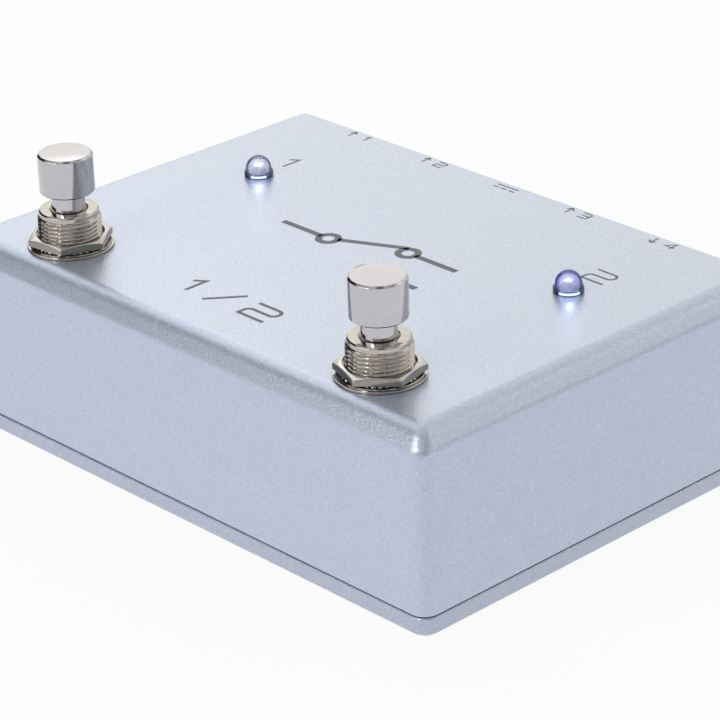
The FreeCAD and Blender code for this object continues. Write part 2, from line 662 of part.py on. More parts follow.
def make_switch_nuts(side, x, y):
    """Make the washers and nuts that clamp the panel."""
    hole = "bushing_diameter + washer_clearance"
    slab(f"switch_washer_{side}", [
        lambda plan: circle(plan, "washer_diameter"),
        lambda plan: circle(plan, hole),
    ], "box_height", "washer_thickness", x, y)
    lock = slab(f"switch_lock_washer_{side}", [
        lambda plan: circle(plan, "lock_washer_diameter"),
        lambda plan: circle(plan, hole),
    ], "box_height + washer_thickness", "lock_washer_thickness", x, y)
    gap = sketch(lock, f"tooth_gap_{side}", "XY_Plane", "nut_foot")
    rectangle(gap, "lock_washer_diameter / 2", "0", "2 * tooth_length", "tooth_gap")
    cut = pocket(lock, gap, f"tooth_gap_cut_{side}", "lock_washer_thickness")
    ring = lock.newObject("PartDesign::PolarPattern", f"teeth_{side}")
    ring.Originals = [cut]
    ring.Axis = (next(one for one in lock.Origin.OriginFeatures if one.Role == "Z_Axis"), [""])
    ring.Angle = 360.0
    ring.setExpression("Occurrences", expand("lock_washer_teeth"))
    lock.Tip = ring
    thread_hole = "bushing_diameter + thread_clearance"
    for name, foot, height in (("nut", "nut_foot", "nut_height"),
                               ("back_nut", "back_nut_foot", "back_nut_height")):
        nut = slab(f"switch_{name}_{side}", [
            lambda plan: hexagon(plan, "nut_flats", f"nut_turn_{side}"),
            lambda plan: circle(plan, thread_hole),
        ], foot, height, x, y)
        trim = sketch(nut, f"{name}_trim_{side}", "XZ_Plane")
        corner = "nut_flats / (2 * cos(30))"
        top = f"{foot} + {height}"
        outline(trim, [
            ("nut_flats / 2", top), (f"{corner} + 1", f"{top} - nut_chamfer * ({corner} + 1 - "
             f"nut_flats / 2) / ({corner} - nut_flats / 2)"), (f"{corner} + 1", f"{top} + 1"),
            ("nut_flats / 2", f"{top} + 1"),
        ])
        revolve(nut, trim, f"{name}_chamfer_{side}", "Groove")


def make_switch_case(side, x, y):
    """Make the folded frame, the moulded housing and the terminal base."""
    frame = body(f"switch_frame_{side}", x, y)
    fold = sketch(frame, f"frame_fold_{side}", "XZ_Plane", "-frame_width / 2")
    inner = "housing_width / 2 + housing_clearance"
    outer = f"{inner} + frame_sheet"
    tab = "housing_width / 2 - frame_tab"
    half = [
        (outer, "frame_top"), (outer, "base_foot - housing_clearance - frame_sheet"),
        (tab, "base_foot - housing_clearance - frame_sheet"), (tab, "base_foot - housing_clearance"),
        (inner, "base_foot - housing_clearance"), (inner, "housing_top"),
    ]
    outline(fold, half + [(f"-({across})", level) for across, level in reversed(half)])
    pad(frame, fold, f"frame_folded_{side}", "frame_width")
    eye = sketch(frame, f"frame_eye_{side}", "XY_Plane", "frame_top")
    circle(eye, "stem_diameter + thread_clearance")
    pocket(frame, eye, f"frame_eye_cut_{side}", "frame_sheet")
    housing = slab(f"switch_housing_{side}", [
        lambda plan: rectangle(plan, "0", "0", "housing_width", "housing_depth"),
    ], "housing_foot", "housing_height", x, y)
    for name, level, draw, depth, onward in (
        ("well", "housing_top", lambda plan: circle(plan, "well_diameter"), "well_depth", False),
        ("rod_hole", "shelf_top", lambda plan: circle(plan, "rod_diameter + rod_clearance"),
         "shelf_thickness", False),
        ("chamber", "housing_foot",
         lambda plan: rectangle(plan, "0", "0", "chamber_width", "chamber_depth"),
         "shelf_foot - housing_foot", True),
    ):
        plan = sketch(housing, f"{name}_{side}", "XY_Plane", level)
        draw(plan)
        pocket(housing, plan, f"{name}_cut_{side}", depth, onward)
    base = slab(f"switch_base_{side}", [
        lambda plan: rectangle(plan, "0", "0", "housing_width", "housing_depth"),
    ], "base_foot", "base_thickness", x, y)
    slots = sketch(base, f"lug_slots_{side}", "XY_Plane", "housing_foot")
    for place_x, place_y in lug_places():
        rectangle(slots, place_x, place_y, "lug_width + 2 * housing_clearance",
                  "lug_thickness + 2 * housing_clearance")
    pocket(base, slots, f"lug_slots_cut_{side}", "base_thickness")


def lug_places():
    """Give the places of the six solder lugs about the switch axis."""
    return [(f"{column} * lug_pitch_x", f"{row} * lug_row_y") for column in (-1, 0, 1) for row in (-1, 1)]


def make_switch_contacts(side, x, y):
    """Make the fixed contacts, the moving bridges with their carrier, and the spring."""
    lugs = slab(f"switch_terminals_{side}", [
        lambda plan, at=at: rectangle(plan, at[0], at[1], "contact_width", "contact_depth")
        for at in lug_places()
    ], "housing_foot", "contact_height", x, y)
    legs = sketch(lugs, f"lug_legs_{side}", "XY_Plane", "housing_foot")
    for place_x, place_y in lug_places():
        rectangle(legs, place_x, place_y, "lug_width", "lug_thickness")
    pad(lugs, legs, f"lug_legs_down_{side}", "base_thickness + lug_length", onward=False)
    eyes = sketch(lugs, f"lug_eyes_{side}", "XZ_Plane", "lug_row_y + lug_thickness")
    for column in (-1, 0, 1):
        circle(eyes, "lug_hole", f"{column} * lug_pitch_x", "lug_foot + lug_width / 2")
    pocket(lugs, eyes, f"lug_eyes_cut_{side}", "2 * (lug_row_y + lug_thickness)")
    slab(f"moving_contacts_{side}", [
        lambda plan, column=column: rectangle(plan, f"{column} * lug_pitch_x", "0",
                                              "bridge_width", "bridge_length")
        for column in (-1, 0, 1)
    ], "bridge_foot", "bridge_thickness", x, y)
    carrier = slab(f"contact_carrier_{side}", [
        lambda plan: rectangle(plan, "0", "0", "chamber_width - 2 * carrier_clearance",
                               "chamber_depth - 2 * carrier_clearance"),
    ], "carrier_foot", "carrier_height", x, y)
    eye = sketch(carrier, f"carrier_eye_{side}", "XY_Plane", "carrier_top")
    circle(eye, "rod_diameter + thread_clearance")
    pocket(carrier, eye, f"carrier_eye_cut_{side}", "carrier_height / 2")
    spring = body(f"return_spring_{side}", x, y)
    wire = sketch(spring, f"spring_wire_{side}", "XZ_Plane")
    circle(wire, "spring_wire", "spring_diameter / 2", "shelf_top + spring_gap + spring_wire / 2")
    coil = spring.newObject("PartDesign::AdditiveHelix", f"spring_coil_{side}")
    coil.Profile = wire
    coil.ReferenceAxis = (wire, ["V_Axis"])
    coil.Mode = "height-turns-angle"
    coil.setExpression("Height", expand("collar_foot - shelf_top - 2 * spring_gap - spring_wire"))
    coil.setExpression("Turns", expand("spring_turns"))


def make_lamp(side, sign):
    """Make one indicator lamp that stands on the panel, with its leads and sleeve."""
    x = f"{sign} * led_x"
    y = "led_y"
    dome_level = "box_height + led_height - led_diameter / 2"
    turned(f"led_lens_{side}", [
        ("0", "box_height"), ("led_flange / 2", "box_height"),
        ("led_flange / 2", "box_height + led_flange_height"),
        ("led_diameter / 2", "box_height + led_flange_height"),
        ("led_diameter / 2", dome_level), ("0", "box_height + led_height"),
    ], x, y, {4: "led_diameter / 2"})
    slab(f"led_leads_{side}", [
        lambda plan, row=row: rectangle(plan, f"{row} * led_pitch / 2", "0", "led_lead", "led_lead")
        for row in (-1, 1)
    ], "pin_foot", "box_height - pin_foot", x, y)
    slab(f"led_sleeve_{side}", [
        lambda plan: circle(plan, "sleeve_diameter"),
        lambda plan: circle(plan, "sleeve_bore"),
    ], "board_level + sleeve_lift", "box_height - board_level - sleeve_lift", x, y)


def make_socket(name, x):
    """Make one moulded plug socket with a threaded nose that goes through the rear wall."""
    piece = body(f"socket_body_{name}", x)
    face = sketch(piece, f"block_{name}", "XZ_Plane", "socket_seat")
    rectangle(face, "0", "socket_axis", "socket_body_width", "socket_body_height")
    pad(piece, face, f"block_run_{name}", "socket_body_length", onward=False)
    nose = sketch(piece, f"nose_{name}", "XZ_Plane", "socket_seat")
    circle(nose, "socket_nose", "0", "socket_axis")
    pad(piece, nose, f"nose_run_{name}", "socket_rim - socket_seat")
    chamfer_rims(piece, f"nose_edge_{name}", "Y", value("socket_rim"), "socket_nose_edge")
    bore = sketch(piece, f"bore_{name}", "XZ_Plane", "socket_rim")
    circle(bore, "socket_bore", "0", "socket_axis")
    pocket(piece, bore, f"bore_cut_{name}", "socket_bore_length")
    chamber = sketch(piece, f"chamber_{name}", "XZ_Plane", "socket_rim - socket_bore_length")
    circle(chamber, "socket_chamber", "0", "socket_axis")
    pocket(piece, chamber, f"chamber_cut_{name}", "socket_bore_depth - socket_bore_length")
    slot = sketch(piece, f"slot_{name}", "XY_Plane", "socket_axis + socket_body_height / 2")
    rectangle(slot, "0", "socket_back + slot_inset + slot_length / 2", "slot_width", "slot_length")
    pocket(piece, slot, f"slot_cut_{name}", "socket_body_height / 2")
    keyhole = sketch(piece, f"keyhole_{name}", "XY_Plane", "board_level")
    rectangle(keyhole, "0", "sleeve_pin_y", "sleeve_pin_width + 2 * sleeve_pin_clearance",
              "sleeve_pin_sheet + 2 * sleeve_pin_clearance")
    pocket(piece, keyhole, f"keyhole_cut_{name}", "socket_body_height / 2", onward=True)


def make_socket_fittings():
    """Make the groups that the four plug sockets share: washers, nuts and contacts."""
    places = [place for name, place in SOCKETS]
    washers = body("socket_washers")
    plan = sketch(washers, "washer_plan", "XZ_Plane", "socket_washer_face")
    for place in places:
        circle(plan, "socket_washer_diameter", place, "socket_axis")
        circle(plan, "socket_nose + socket_hole_clearance", place, "socket_axis")
    pad(washers, plan, "washers_raised", "socket_washer_thickness")
    nuts = body("socket_nuts")
    plan = sketch(nuts, "nut_plan", "XZ_Plane", "socket_nut_face")
    for place in places:
        hexagon(plan, "socket_nut_flats", "30", place, "socket_axis")
        circle(plan, "socket_nose + thread_clearance", place, "socket_axis")
    pad(nuts, plan, "nuts_raised", "socket_nut_height")
    for name, place in SOCKETS:
        spring = body(f"tip_spring_{name}", place)
        side = sketch(spring, f"spring_side_{name}", "YZ_Plane", "-tip_spring_width / 2")
        top = "socket_axis + socket_body_height / 2"
        bend = "socket_back + tip_spring_reach"
        press = "socket_back + tip_spring_point"
        low = "socket_axis + tip_spring_height"
        outline(side, [
            ("tip_leg", "pin_foot"), ("socket_back", "pin_foot"), ("socket_back", top), (bend, top),
            (press, f"{low} + 2 * tip_spring_sheet"), (f"{press} - 1.6", f"{low} + 4 * tip_spring_sheet"),
            (f"{press} - 1.6", f"{low} + 2.6 * tip_spring_sheet"), (press, low),
            (f"{bend} + tip_spring_sheet", f"{top} - tip_spring_sheet"),
            (f"{bend} + tip_spring_sheet", f"{top} + tip_spring_sheet"),
            ("tip_leg", f"{top} + tip_spring_sheet"),
        ])
        pad(spring, side, f"spring_run_{name}", "tip_spring_width")
    pins = body("sleeve_contacts")
    plan = sketch(pins, "sleeve_plan", "XY_Plane", "pin_foot")
    for place in places:
        rectangle(plan, place, "sleeve_pin_y", "sleeve_pin_width", "sleeve_pin_sheet")
    pad(pins, plan, "sleeve_raised", "socket_axis - socket_bore / 2 - sleeve_pin_clearance - pin_foot")


def make_power_socket():
    """Make the power socket between the plug sockets: body, centre pin and solder tabs."""
    piece = body("power_socket_body")
    face = sketch(piece, "power_block", "XZ_Plane", "socket_seat")
    rectangle(face, "0", "board_level + power_height / 2", "power_width", "power_height")
    pad(piece, face, "power_block_run", "power_length", onward=False)
    nose = sketch(piece, "power_nose_plan", "XZ_Plane", "socket_seat")
    circle(nose, "power_nose", "0", "power_level")
    pad(piece, nose, "power_nose_run", "power_rim - socket_seat")
    bore = sketch(piece, "power_bore_plan", "XZ_Plane", "power_rim")
    circle(bore, "power_bore", "0", "power_level")
    pocket(piece, bore, "power_bore_cut", "power_bore_depth")
    seat = sketch(piece, "power_pin_seat", "XZ_Plane", "power_rim - power_bore_depth")
    circle(seat, "power_pin_diameter + thread_clearance", "0", "power_level")
    pocket(piece, seat, "power_pin_seat_cut", "power_rim - power_bore_depth - power_back")
    pin = body("power_socket_pin")
    plan = sketch(pin, "power_pin_plan", "XZ_Plane", "power_back")
    circle(plan, "power_pin_diameter", "0", "power_level")
    pad(pin, plan, "power_pin_run", "power_rim - power_pin_inset - power_back")
    slab("power_socket_tabs", [
        lambda plan: rectangle(plan, "0", "power_back - power_tab_sheet / 2",
                               "power_tab_width", "power_tab_sheet"),
    ], "pin_foot", "power_level + power_tab_width / 2 - pin_foot")


def make_board():
    """Make the circuit board, with a hole for every pin that goes through it."""
    piece = slab("circuit_board", [
        lambda plan: rectangle(plan, "0", "(board_rear - board_front) / 2",
                               "board_width", "board_rear + board_front"),
    ], "board_under", "board_thickness")
    holes = sketch(piece, "board_holes", "XY_Plane", "board_level")
    for name, place in SOCKETS:
        rectangle(holes, place, "tip_leg + tip_spring_sheet / 2",
                  "tip_spring_width + 2 * pin_clearance", "tip_spring_sheet + 2 * pin_clearance")
        rectangle(holes, place, "sleeve_pin_y",
                  "sleeve_pin_width + 2 * pin_clearance", "sleeve_pin_sheet + 2 * pin_clearance")
    rectangle(holes, "0", "power_back - power_tab_sheet / 2",
              "power_tab_width + 2 * pin_clearance", "power_tab_sheet + 2 * pin_clearance")
    for side, sign in SIDES:
        for row in (-1, 1):
            rectangle(holes, f"{sign} * led_x + {row} * led_pitch / 2", "led_y",
                      "led_lead + 2 * pin_clearance", "led_lead + 2 * pin_clearance")
    pocket(piece, holes, "board_drilling", "board_thickness")


def make_board_parts():
    """Make the parts that stand on the board: relays, chip, capacitors and resistors."""
    slab("relays", [
        lambda plan, sign=sign: rectangle(plan, f"{sign} * relay_x", "-relay_y",
                                          "relay_length", "relay_width")
        for side, sign in SIDES
    ], "board_level", "relay_height")
    slab("control_chip", [
        lambda plan: rectangle(plan, "0", "chip_y", "chip_length", "chip_width"),
    ], "board_level", "chip_height")
    slab("capacitors", [
        lambda plan, sign=sign: circle(plan, "capacitor_diameter", f"{sign} * capacitor_x", "capacitor_y")
        for side, sign in SIDES
    ], "board_level", "capacitor_height")
    piece = body("resistors")
    rows = range(int(value("resistor_count")))
    axis = "board_level + resistor_lift"
    for side, sign in SIDES:
        for number in rows:
            middle = f"-resistor_y - {number} * resistor_pitch"
            tag = f"{side}_{number}"
            barrel = sketch(piece, f"barrel_{tag}", "YZ_Plane",
                            f"{sign} * resistor_x - resistor_length / 2")
            circle(barrel, "resistor_diameter", middle, axis)
            pad(piece, barrel, f"barrel_run_{tag}", "resistor_length")
            legs = sketch(piece, f"legs_{tag}", "XZ_Plane", f"{middle} - resistor_leg / 2")
            span = "resistor_span / 2"
            outline(legs, [
                (f"{sign} * resistor_x + {across}", level) for across, level in (
                    (f"-{span}", "board_level"), (f"-{span} + resistor_leg", "board_level"),
                    (f"-{span} + resistor_leg", f"{axis} - resistor_leg / 2"),
                    (f"{span} - resistor_leg", f"{axis} - resistor_leg / 2"),
                    (f"{span} - resistor_leg", "board_level"), (span, "board_level"),
                    (span, f"{axis} + resistor_leg / 2"), (f"-{span}", f"{axis} + resistor_leg / 2"),
                )
            ])
            pad(piece, legs, f"legs_run_{tag}", "resistor_leg")


def make_wires(side, sign):
    """Make the three wires from a switch's rear lugs to the board's underside."""
    piece = body(f"switch_wires_{side}", f"{sign} * switch_x")
    for column in (-1, 0, 1):
        across = f"{column} * lug_pitch_x"
        route = sketch(piece, f"wire_route_{side}_{column + 1}", "YZ_Plane", across)
        start = V(value("lug_face_y"), value("wire_level"), 0)
        corner = V(value("wire_end_y"), value("wire_level"), 0)
        end = V(value("wire_end_y"), value("board_under"), 0)
        bend = value("wire_bend")
        turn_in = corner - V(bend, 0, 0)
        turn_out = corner + V(0, bend, 0)
        route.addGeometry(Part.LineSegment(start, turn_in), False)
        route.addGeometry(arc_through(turn_in, turn_out, bend), False)
        route.addGeometry(Part.LineSegment(turn_out, end), False)
        route.addConstraint(Sketcher.Constraint("Tangent", 0, 2, 1, 1))
        route.addConstraint(Sketcher.Constraint("Tangent", 1, 2, 2, 1))
        route.addConstraint(Sketcher.Constraint("Horizontal", 0))
        route.addConstraint(Sketcher.Constraint("Vertical", 2))
        pin_point(route, 0, 1, "lug_face_y", "wire_level")
        pin_point(route, 2, 2, "wire_end_y", "board_under")
        number = route.addConstraint(Sketcher.Constraint("Radius", 1, bend))
        route.setExpression(f"Constraints[{number}]", expand("wire_bend"))
        section = sketch(piece, f"wire_section_{side}_{column + 1}", "XZ_Plane", "lug_face_y")
        circle(section, "wire_diameter", across, "wire_level")
        run = piece.newObject("PartDesign::AdditivePipe", f"wire_run_{side}_{column + 1}")
        run.Profile = section
        run.Spine = (route, ["Edge1", "Edge2", "Edge3"])


def check_pieces():
    """Stop if any feature failed, cut nothing, or left a piece empty or not closed."""
    for thing in doc.Objects:
        if "Invalid" in thing.State or "Error" in thing.State:
            raise RuntimeError(f"{thing.Name}: {thing.State}")
        if thing.TypeId in CUTTING:
            before = thing.BaseFeature.Shape.Volume
            if thing.Shape.Volume > before - 1e-3:
                raise RuntimeError(f"{thing.Name} cuts nothing")
    for piece in NODES:
        shape = piece.Shape
        if shape.isNull() or not shape.isValid() or not shape.Solids:
            raise RuntimeError(f"{piece.Label}: no valid solid")


make_box()
make_cover()
make_cover_screws()
for side, sign in SIDES:
    make_switch(side, sign)
    make_lamp(side, sign)
    make_wires(side, sign)
for name, place in SOCKETS:
    make_socket(name, place)
make_socket_fittings()
make_power_socket()
make_board()
make_board_parts()
doc.recompute()
check_pieces()

os.makedirs("parts", exist_ok=True)
for piece in NODES:
    piece.Shape.exportStep(f"parts/{piece.Label}.step")
    box = piece.Shape.BoundBox
    print(f"{piece.Label}: {len(piece.Shape.Solids)} solids, {piece.Shape.Volume:.1f} mm3, "
          f"z {box.ZMin:.2f} to {box.ZMax:.2f}")
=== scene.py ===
"""A two-button A/B foot switch box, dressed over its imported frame.

Sizes are in millimetres and turns in degrees, unless a name says otherwise; meshes are
built in metres. +X runs along the front edge with the two foot buttons, +Y to the rear
wall with the sockets and +Z up out of the top panel.
"""
import logging
import math
from collections.abc import Callable, Iterable, Sequence
from dataclasses import dataclass
from enum import Enum
from functools import partial
from typing import ClassVar

import bmesh
import bpy
from mathutils import Matrix, Vector


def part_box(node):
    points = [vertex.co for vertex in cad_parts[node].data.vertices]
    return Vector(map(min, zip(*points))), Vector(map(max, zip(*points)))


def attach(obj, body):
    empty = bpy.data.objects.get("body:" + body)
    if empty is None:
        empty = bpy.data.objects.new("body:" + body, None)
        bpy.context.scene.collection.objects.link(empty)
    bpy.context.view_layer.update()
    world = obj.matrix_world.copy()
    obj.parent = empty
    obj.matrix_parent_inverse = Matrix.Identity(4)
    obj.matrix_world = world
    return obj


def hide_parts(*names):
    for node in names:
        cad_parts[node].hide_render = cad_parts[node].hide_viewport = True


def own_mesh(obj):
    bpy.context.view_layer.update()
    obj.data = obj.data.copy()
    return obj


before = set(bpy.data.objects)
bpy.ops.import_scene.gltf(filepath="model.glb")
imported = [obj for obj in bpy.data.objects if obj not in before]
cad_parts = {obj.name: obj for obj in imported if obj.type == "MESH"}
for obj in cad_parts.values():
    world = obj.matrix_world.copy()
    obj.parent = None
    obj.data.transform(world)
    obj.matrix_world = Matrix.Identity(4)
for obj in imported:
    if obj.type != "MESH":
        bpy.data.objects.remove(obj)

log = logging.getLogger("switch_box")

MM = 0.001
FULL_TURN = 360.0
LATHE_STEPS = 96
DRILL_STEPS = 64
SMALL_STEPS = 48
BOX_BODY = "box"
WHITE = "#FFFFFF"
# A cutting tool stands out of what it cuts by this much.
OVERCUT = 1.0
# A nut's bore clears its thread by this much.
THREAD_FIT = 0.04
# Edges that turn less than this are shaded smooth, on most pieces and on the castings.
SMOOTH_TURN = 32.0
CAST_SMOOTH_TURN = 28.0
# Nearly all of Blender's noise lies in this span.
NOISE_SPAN = (0.3, 0.7)
SCREW_HEAD_RADIUS = 3.4
SOCKETS = ("output_a", "output_b", "thru", "input")
# A rounding takes up at most this share of each edge beside it.
EDGE_SHARE = 0.49
# The signs of X and Y in each quarter, in the order in which outlines go round.
QUARTERS = ((1, 1), (-1, 1), (-1, -1), (1, -1))
# Turns what stands along +Z so that it points to the rear.
ALONG_Y = Matrix.Rotation(math.radians(-90), 3, "X")

Tree = bpy.types.NodeTree
Socket = bpy.types.NodeSocket
Form = bmesh.types.BMesh
Ring = list[Vector]
Flat = tuple[float, float]
Span = tuple[float, float]
Corner = tuple[float, float, float]


# ---- Colour and nodes

def to_linear(hex_code: str) -> tuple[float, float, float, float]:
    """Turn a sRGB hex code into a linear colour.

    Args:
        hex_code: The colour as #RRGGBB.

    Returns:
        Red, green, blue and full alpha, as Blender's sockets take them.
    """
    channels = []
    for start in (1, 3, 5):
        level = int(hex_code[start:start + 2], 16) / 255
        channels.append(level / 12.92 if level <= 0.04045 else ((level + 0.055) / 1.055) ** 2.4)
    return (*channels, 1.0)


def add_node(tree: Tree, kind: str, sockets: dict[str | int, object] | None = None,
             **settings: object) -> bpy.types.Node:
    """Add one node with its settings, values and links.

    Args:
        tree: The node tree it goes in.
        kind: Blender's name of the node type.
        sockets: Input name or number to a value, or to the output socket that feeds it.
        **settings: Properties of the node itself.

    Returns:
        The new node.
    """
    made = tree.nodes.new(kind)
    for name, setting in settings.items():
        setattr(made, name, setting)
    for name, given in (sockets or {}).items():
        if isinstance(given, Socket):
            tree.links.new(given, made.inputs[name])
        else:
            made.inputs[name].default_value = given
    return made


def per_metre(spacing: float) -> float:
    """Give a texture scale whose pattern repeats about every spacing millimetres."""
    return 1 / (spacing * MM)


def noise(tree: Tree, place: Socket, spacing: float, detail: float = 2.0,
          roughness: float = 0.5) -> Socket:
    """Make a cloudy pattern.

    Args:
        tree: The node tree it goes in.
        place: Coordinates in metres.
        spacing: How far apart its clouds are.
        detail: How many finer patterns lie in it.
        roughness: How much those count.

    Returns:
        The pattern's output, from 0 to 1.
    """
    made = add_node(tree, "ShaderNodeTexNoise", {"Vector": place, "Scale": per_metre(spacing),
                                                 "Detail": detail, "Roughness": roughness})
    return made.outputs[0]


def fit(tree: Tree, value: Socket, given: Span, wanted: Span = (0.0, 1.0)) -> Socket:
    """Map one span of a value to another, and hold what lies outside at its ends.

    Args:
        tree: The node tree it goes in.
        value: The value's output.
        given: The span as it comes in.
        wanted: The span that it becomes.

    Returns:
        The mapped value's output.
    """
    ends = zip(("From Min", "From Max", "To Min", "To Max"), (*given, *wanted))
    return add_node(tree, "ShaderNodeMapRange", {"Value": value, **dict(ends)}).outputs[0]


def blend(tree: Tree, share: Socket, first: Socket | str, second: str) -> Socket:
    """Blend two colours.

    Args:
        tree: The node tree it goes in.
        share: How much of the second colour there is, from 0 to 1.
        first: The first colour, as an output or a hex code.
        second: The second colour, as a hex code.

    Returns:
        The blended colour's output.
    """
    start = to_linear(first) if isinstance(first, str) else first
    made = add_node(tree, "ShaderNodeMix", {0: share, 6: start, 7: to_linear(second)}, data_type="RGBA")
    return made.outputs[2]


def bump(tree: Tree, height: Socket, depth: float, below: Socket | None = None) -> Socket:
    """Turn a pattern into fine relief.

    Args:
        tree: The node tree it goes in.
        height: The pattern's output.
        depth: How deep the relief is.
        below: Normals of the relief that it lies on, if there is one.

    Returns:
        The output with the normals.
    """
    sockets = {"Height": height, "Strength": 1.0, "Distance": depth * MM}
    if below is not None:
        sockets["Normal"] = below
    return add_node(tree, "ShaderNodeBump", sockets).outputs[0]


class Combining(Enum):
    """How two values become one; each is Blender's name of it."""

    SUM = "ADD"
    PRODUCT = "MULTIPLY"
    LARGER = "MAXIMUM"


def combine(tree: Tree, way: Combining, first: Socket | float, second: Socket | float) -> Socket:
    """Combine two values in one."""
    return add_node(tree, "ShaderNodeMath", {0: first, 1: second}, operation=way.value).outputs[0]


def mix_shaders(tree: Tree, share: Socket, first: Socket, second: Socket) -> Socket:
    """Mix two shaders, with as much of the second as the share says."""
    return add_node(tree, "ShaderNodeMixShader", {0: share, 1: first, 2: second}).outputs[0]


# ---- Finishes

@dataclass(frozen=True)
class Finish:
    """What every finish has: a name, and its colour as a sRGB hex code."""

    name: str
    colour: str

    def material(self) -> bpy.types.Material:
        """Give the finish's material, which is made once.

        Returns:
            The material, with the finish's nodes.
        """
        made = bpy.data.materials.get(self.name)
        if made is None:
            made = bpy.data.materials.new(self.name)
            made.use_nodes = True
            tree = made.node_tree
            tree.nodes.clear()
            place = add_node(tree, "ShaderNodeTexCoord").outputs["Object"]
            add_node(tree, "ShaderNodeOutputMaterial", {"Surface": self.surface(tree, place)})
        return made

    def surface(self, tree: Tree, place: Socket) -> Socket:
        """Build the finish's shader.

        Args:
            tree: The material's node tree.
            place: Object coordinates, in metres.

        Returns:
            The shader's output.
        """
        raise NotImplementedError


@dataclass(frozen=True)
class PowderCoat(Finish):
    """Powder coat with aluminium flake, sprayed and baked on die-cast aluminium.

    The melted grains leave a fine pebbled skin, and single flakes catch the light or lie
    in shade. Flakes and grains are drawn coarser than the real ones, so that they show.
    A flake is bright, or shaded, as its random value goes from the first to the second
    value of flake_cells, or of shade_cells, up to its share of that colour.
    """

    flake: str = "#F4F7FC"
    flake_mm: float = 0.22
    flake_cells: Span = (0.62, 0.98)
    flake_share: float = 0.3
    shade: str = "#8F98AA"
    shade_cells: Span = (0.38, 0.08)
    shade_share: float = 0.22
    metallic: float = 0.68
    roughness: float = 0.37
    sheen: Span = (-0.04, 0.06)
    grain_mm: float = 0.5
    grain_depth_mm: float = 0.048
    peel_mm: float = 2.4
    peel_depth_mm: float = 0.016
    skin_weight: float = 0.8
    skin_roughness: float = 0.2

    def surface(self, tree: Tree, place: Socket) -> Socket:
        """Build the flaked coat.

        Args:
            tree: The material's node tree.
            place: Object coordinates, in metres.

        Returns:
            The shader's output.
        """
        cells = add_node(tree, "ShaderNodeTexVoronoi", {"Vector": place, "Scale": per_metre(self.flake_mm)})
        chance = cells.outputs["Color"]
        bright = fit(tree, chance, self.flake_cells, (0.0, self.flake_share))
        dark = fit(tree, chance, self.shade_cells, (0.0, self.shade_share))
        colour = blend(tree, dark, blend(tree, bright, self.colour, self.flake), self.shade)
        grain = noise(tree, place, self.grain_mm, detail=1.5, roughness=0.55)
        peel = noise(tree, place, self.peel_mm, detail=1.0)
        waves = bump(tree, peel, self.peel_depth_mm, bump(tree, grain, self.grain_depth_mm))
        least, most = self.sheen
        gloss = fit(tree, grain, NOISE_SPAN, (self.roughness + least, self.roughness + most))
        shader = add_node(tree, "ShaderNodeBsdfPrincipled",
                          {"Base Color": colour, "Metallic": self.metallic, "Roughness": gloss,
                           "Normal": waves, "Coat Weight": self.skin_weight,
                           "Coat Roughness": self.skin_roughness, "Coat Normal": waves})
        return shader.outputs[0]


class Marks(Enum):
    """How a metal's fine marks lie: how much their pattern is squeezed along X, Y and Z."""

    TURNED = (0.06, 0.06, 1.0)
    DRAWN = (1.0, 0.25, 1.0)


@dataclass(frozen=True)
class PlatedMetal(Finish):
    """Nickel, chrome or zinc plate, or bare metal, with the marks of how it was made.

    Marks that run round a turned piece vary only with height; a drawn or stamped piece
    has marks that vary all ways. The finest real marks don't show, so they are drawn as
    coarse as they need to. The dull colour sets in over the stain_clouds values of a slow
    pattern. A finish may also have a painted highlight: a lighter colour of its own, painted
    on the faces that look up as painted light from above. It sets in as the Z part of
    its normal rises through a span of its own.
    """

    dull: str = "#8A867E"
    roughness: float = 0.16
    gloss_spread: Span = (0.8, 1.25)
    marks: Marks = Marks.TURNED
    mark_mm: float = 0.25
    mark_depth_mm: float = 0.0012
    stain_mm: float = 3.0
    stain_clouds: Span = (0.35, 0.75)
    stain: float = 0.25
    # The colour of the painted highlight on faces that look up, if there is one.
    face: str = ""
    painted_light_rise: Span = (0.3, 0.8)

    def surface(self, tree: Tree, place: Socket) -> Socket:
        """Build the plated metal.

        Args:
            tree: The material's node tree.
            place: Object coordinates, in metres.

        Returns:
            The shader's output.
        """
        along = add_node(tree, "ShaderNodeMapping", {"Vector": place, "Scale": self.marks.value})
        ripple = bump(tree, noise(tree, along.outputs[0], self.mark_mm), self.mark_depth_mm)
        cloud = noise(tree, place, self.stain_mm, detail=3.0)
        stain = fit(tree, cloud, self.stain_clouds, (0.0, self.stain))
        colour = blend(tree, stain, self.colour, self.dull)
        # Painted light: faces that look up get the lighter colour, by the Z part of their normal.
        if self.face:
            lie = add_node(tree, "ShaderNodeNewGeometry")
            rise = add_node(tree, "ShaderNodeSeparateXYZ", {0: lie.outputs["Normal"]})
            colour = blend(tree, fit(tree, rise.outputs["Z"], self.painted_light_rise), colour, self.face)
        least, most = self.gloss_spread
        gloss = fit(tree, cloud, NOISE_SPAN, (self.roughness * least, self.roughness * most))
        shader = add_node(tree, "ShaderNodeBsdfPrincipled",
                          {"Base Color": colour, "Metallic": 1.0, "Roughness": gloss, "Normal": ripple})
        return shader.outputs[0]


@dataclass(frozen=True)
class MouldedPlastic(Finish):
    """Moulded or coated plastic: an even colour with a spark-eroded or smooth skin."""

    pale: str = "#303033"
    roughness: float = 0.45
    gloss_spread: float = 0.07
    grain_mm: float = 0.3
    grain_depth_mm: float = 0.006
    ior: float = 1.5

    def surface(self, tree: Tree, place: Socket) -> Socket:
        """Build the plastic.

        Args:
            tree: The material's node tree.
            place: Object coordinates, in metres.

        Returns:
            The shader's output.
        """
        grain = noise(tree, place, self.grain_mm)
        gloss = fit(tree, grain, NOISE_SPAN,
                    (self.roughness - self.gloss_spread, self.roughness + self.gloss_spread))
        shader = add_node(tree, "ShaderNodeBsdfPrincipled",
                          {"Base Color": blend(tree, grain, self.colour, self.pale), "Roughness": gloss,
                           "IOR": self.ior, "Normal": bump(tree, grain, self.grain_depth_mm)})
        return shader.outputs[0]


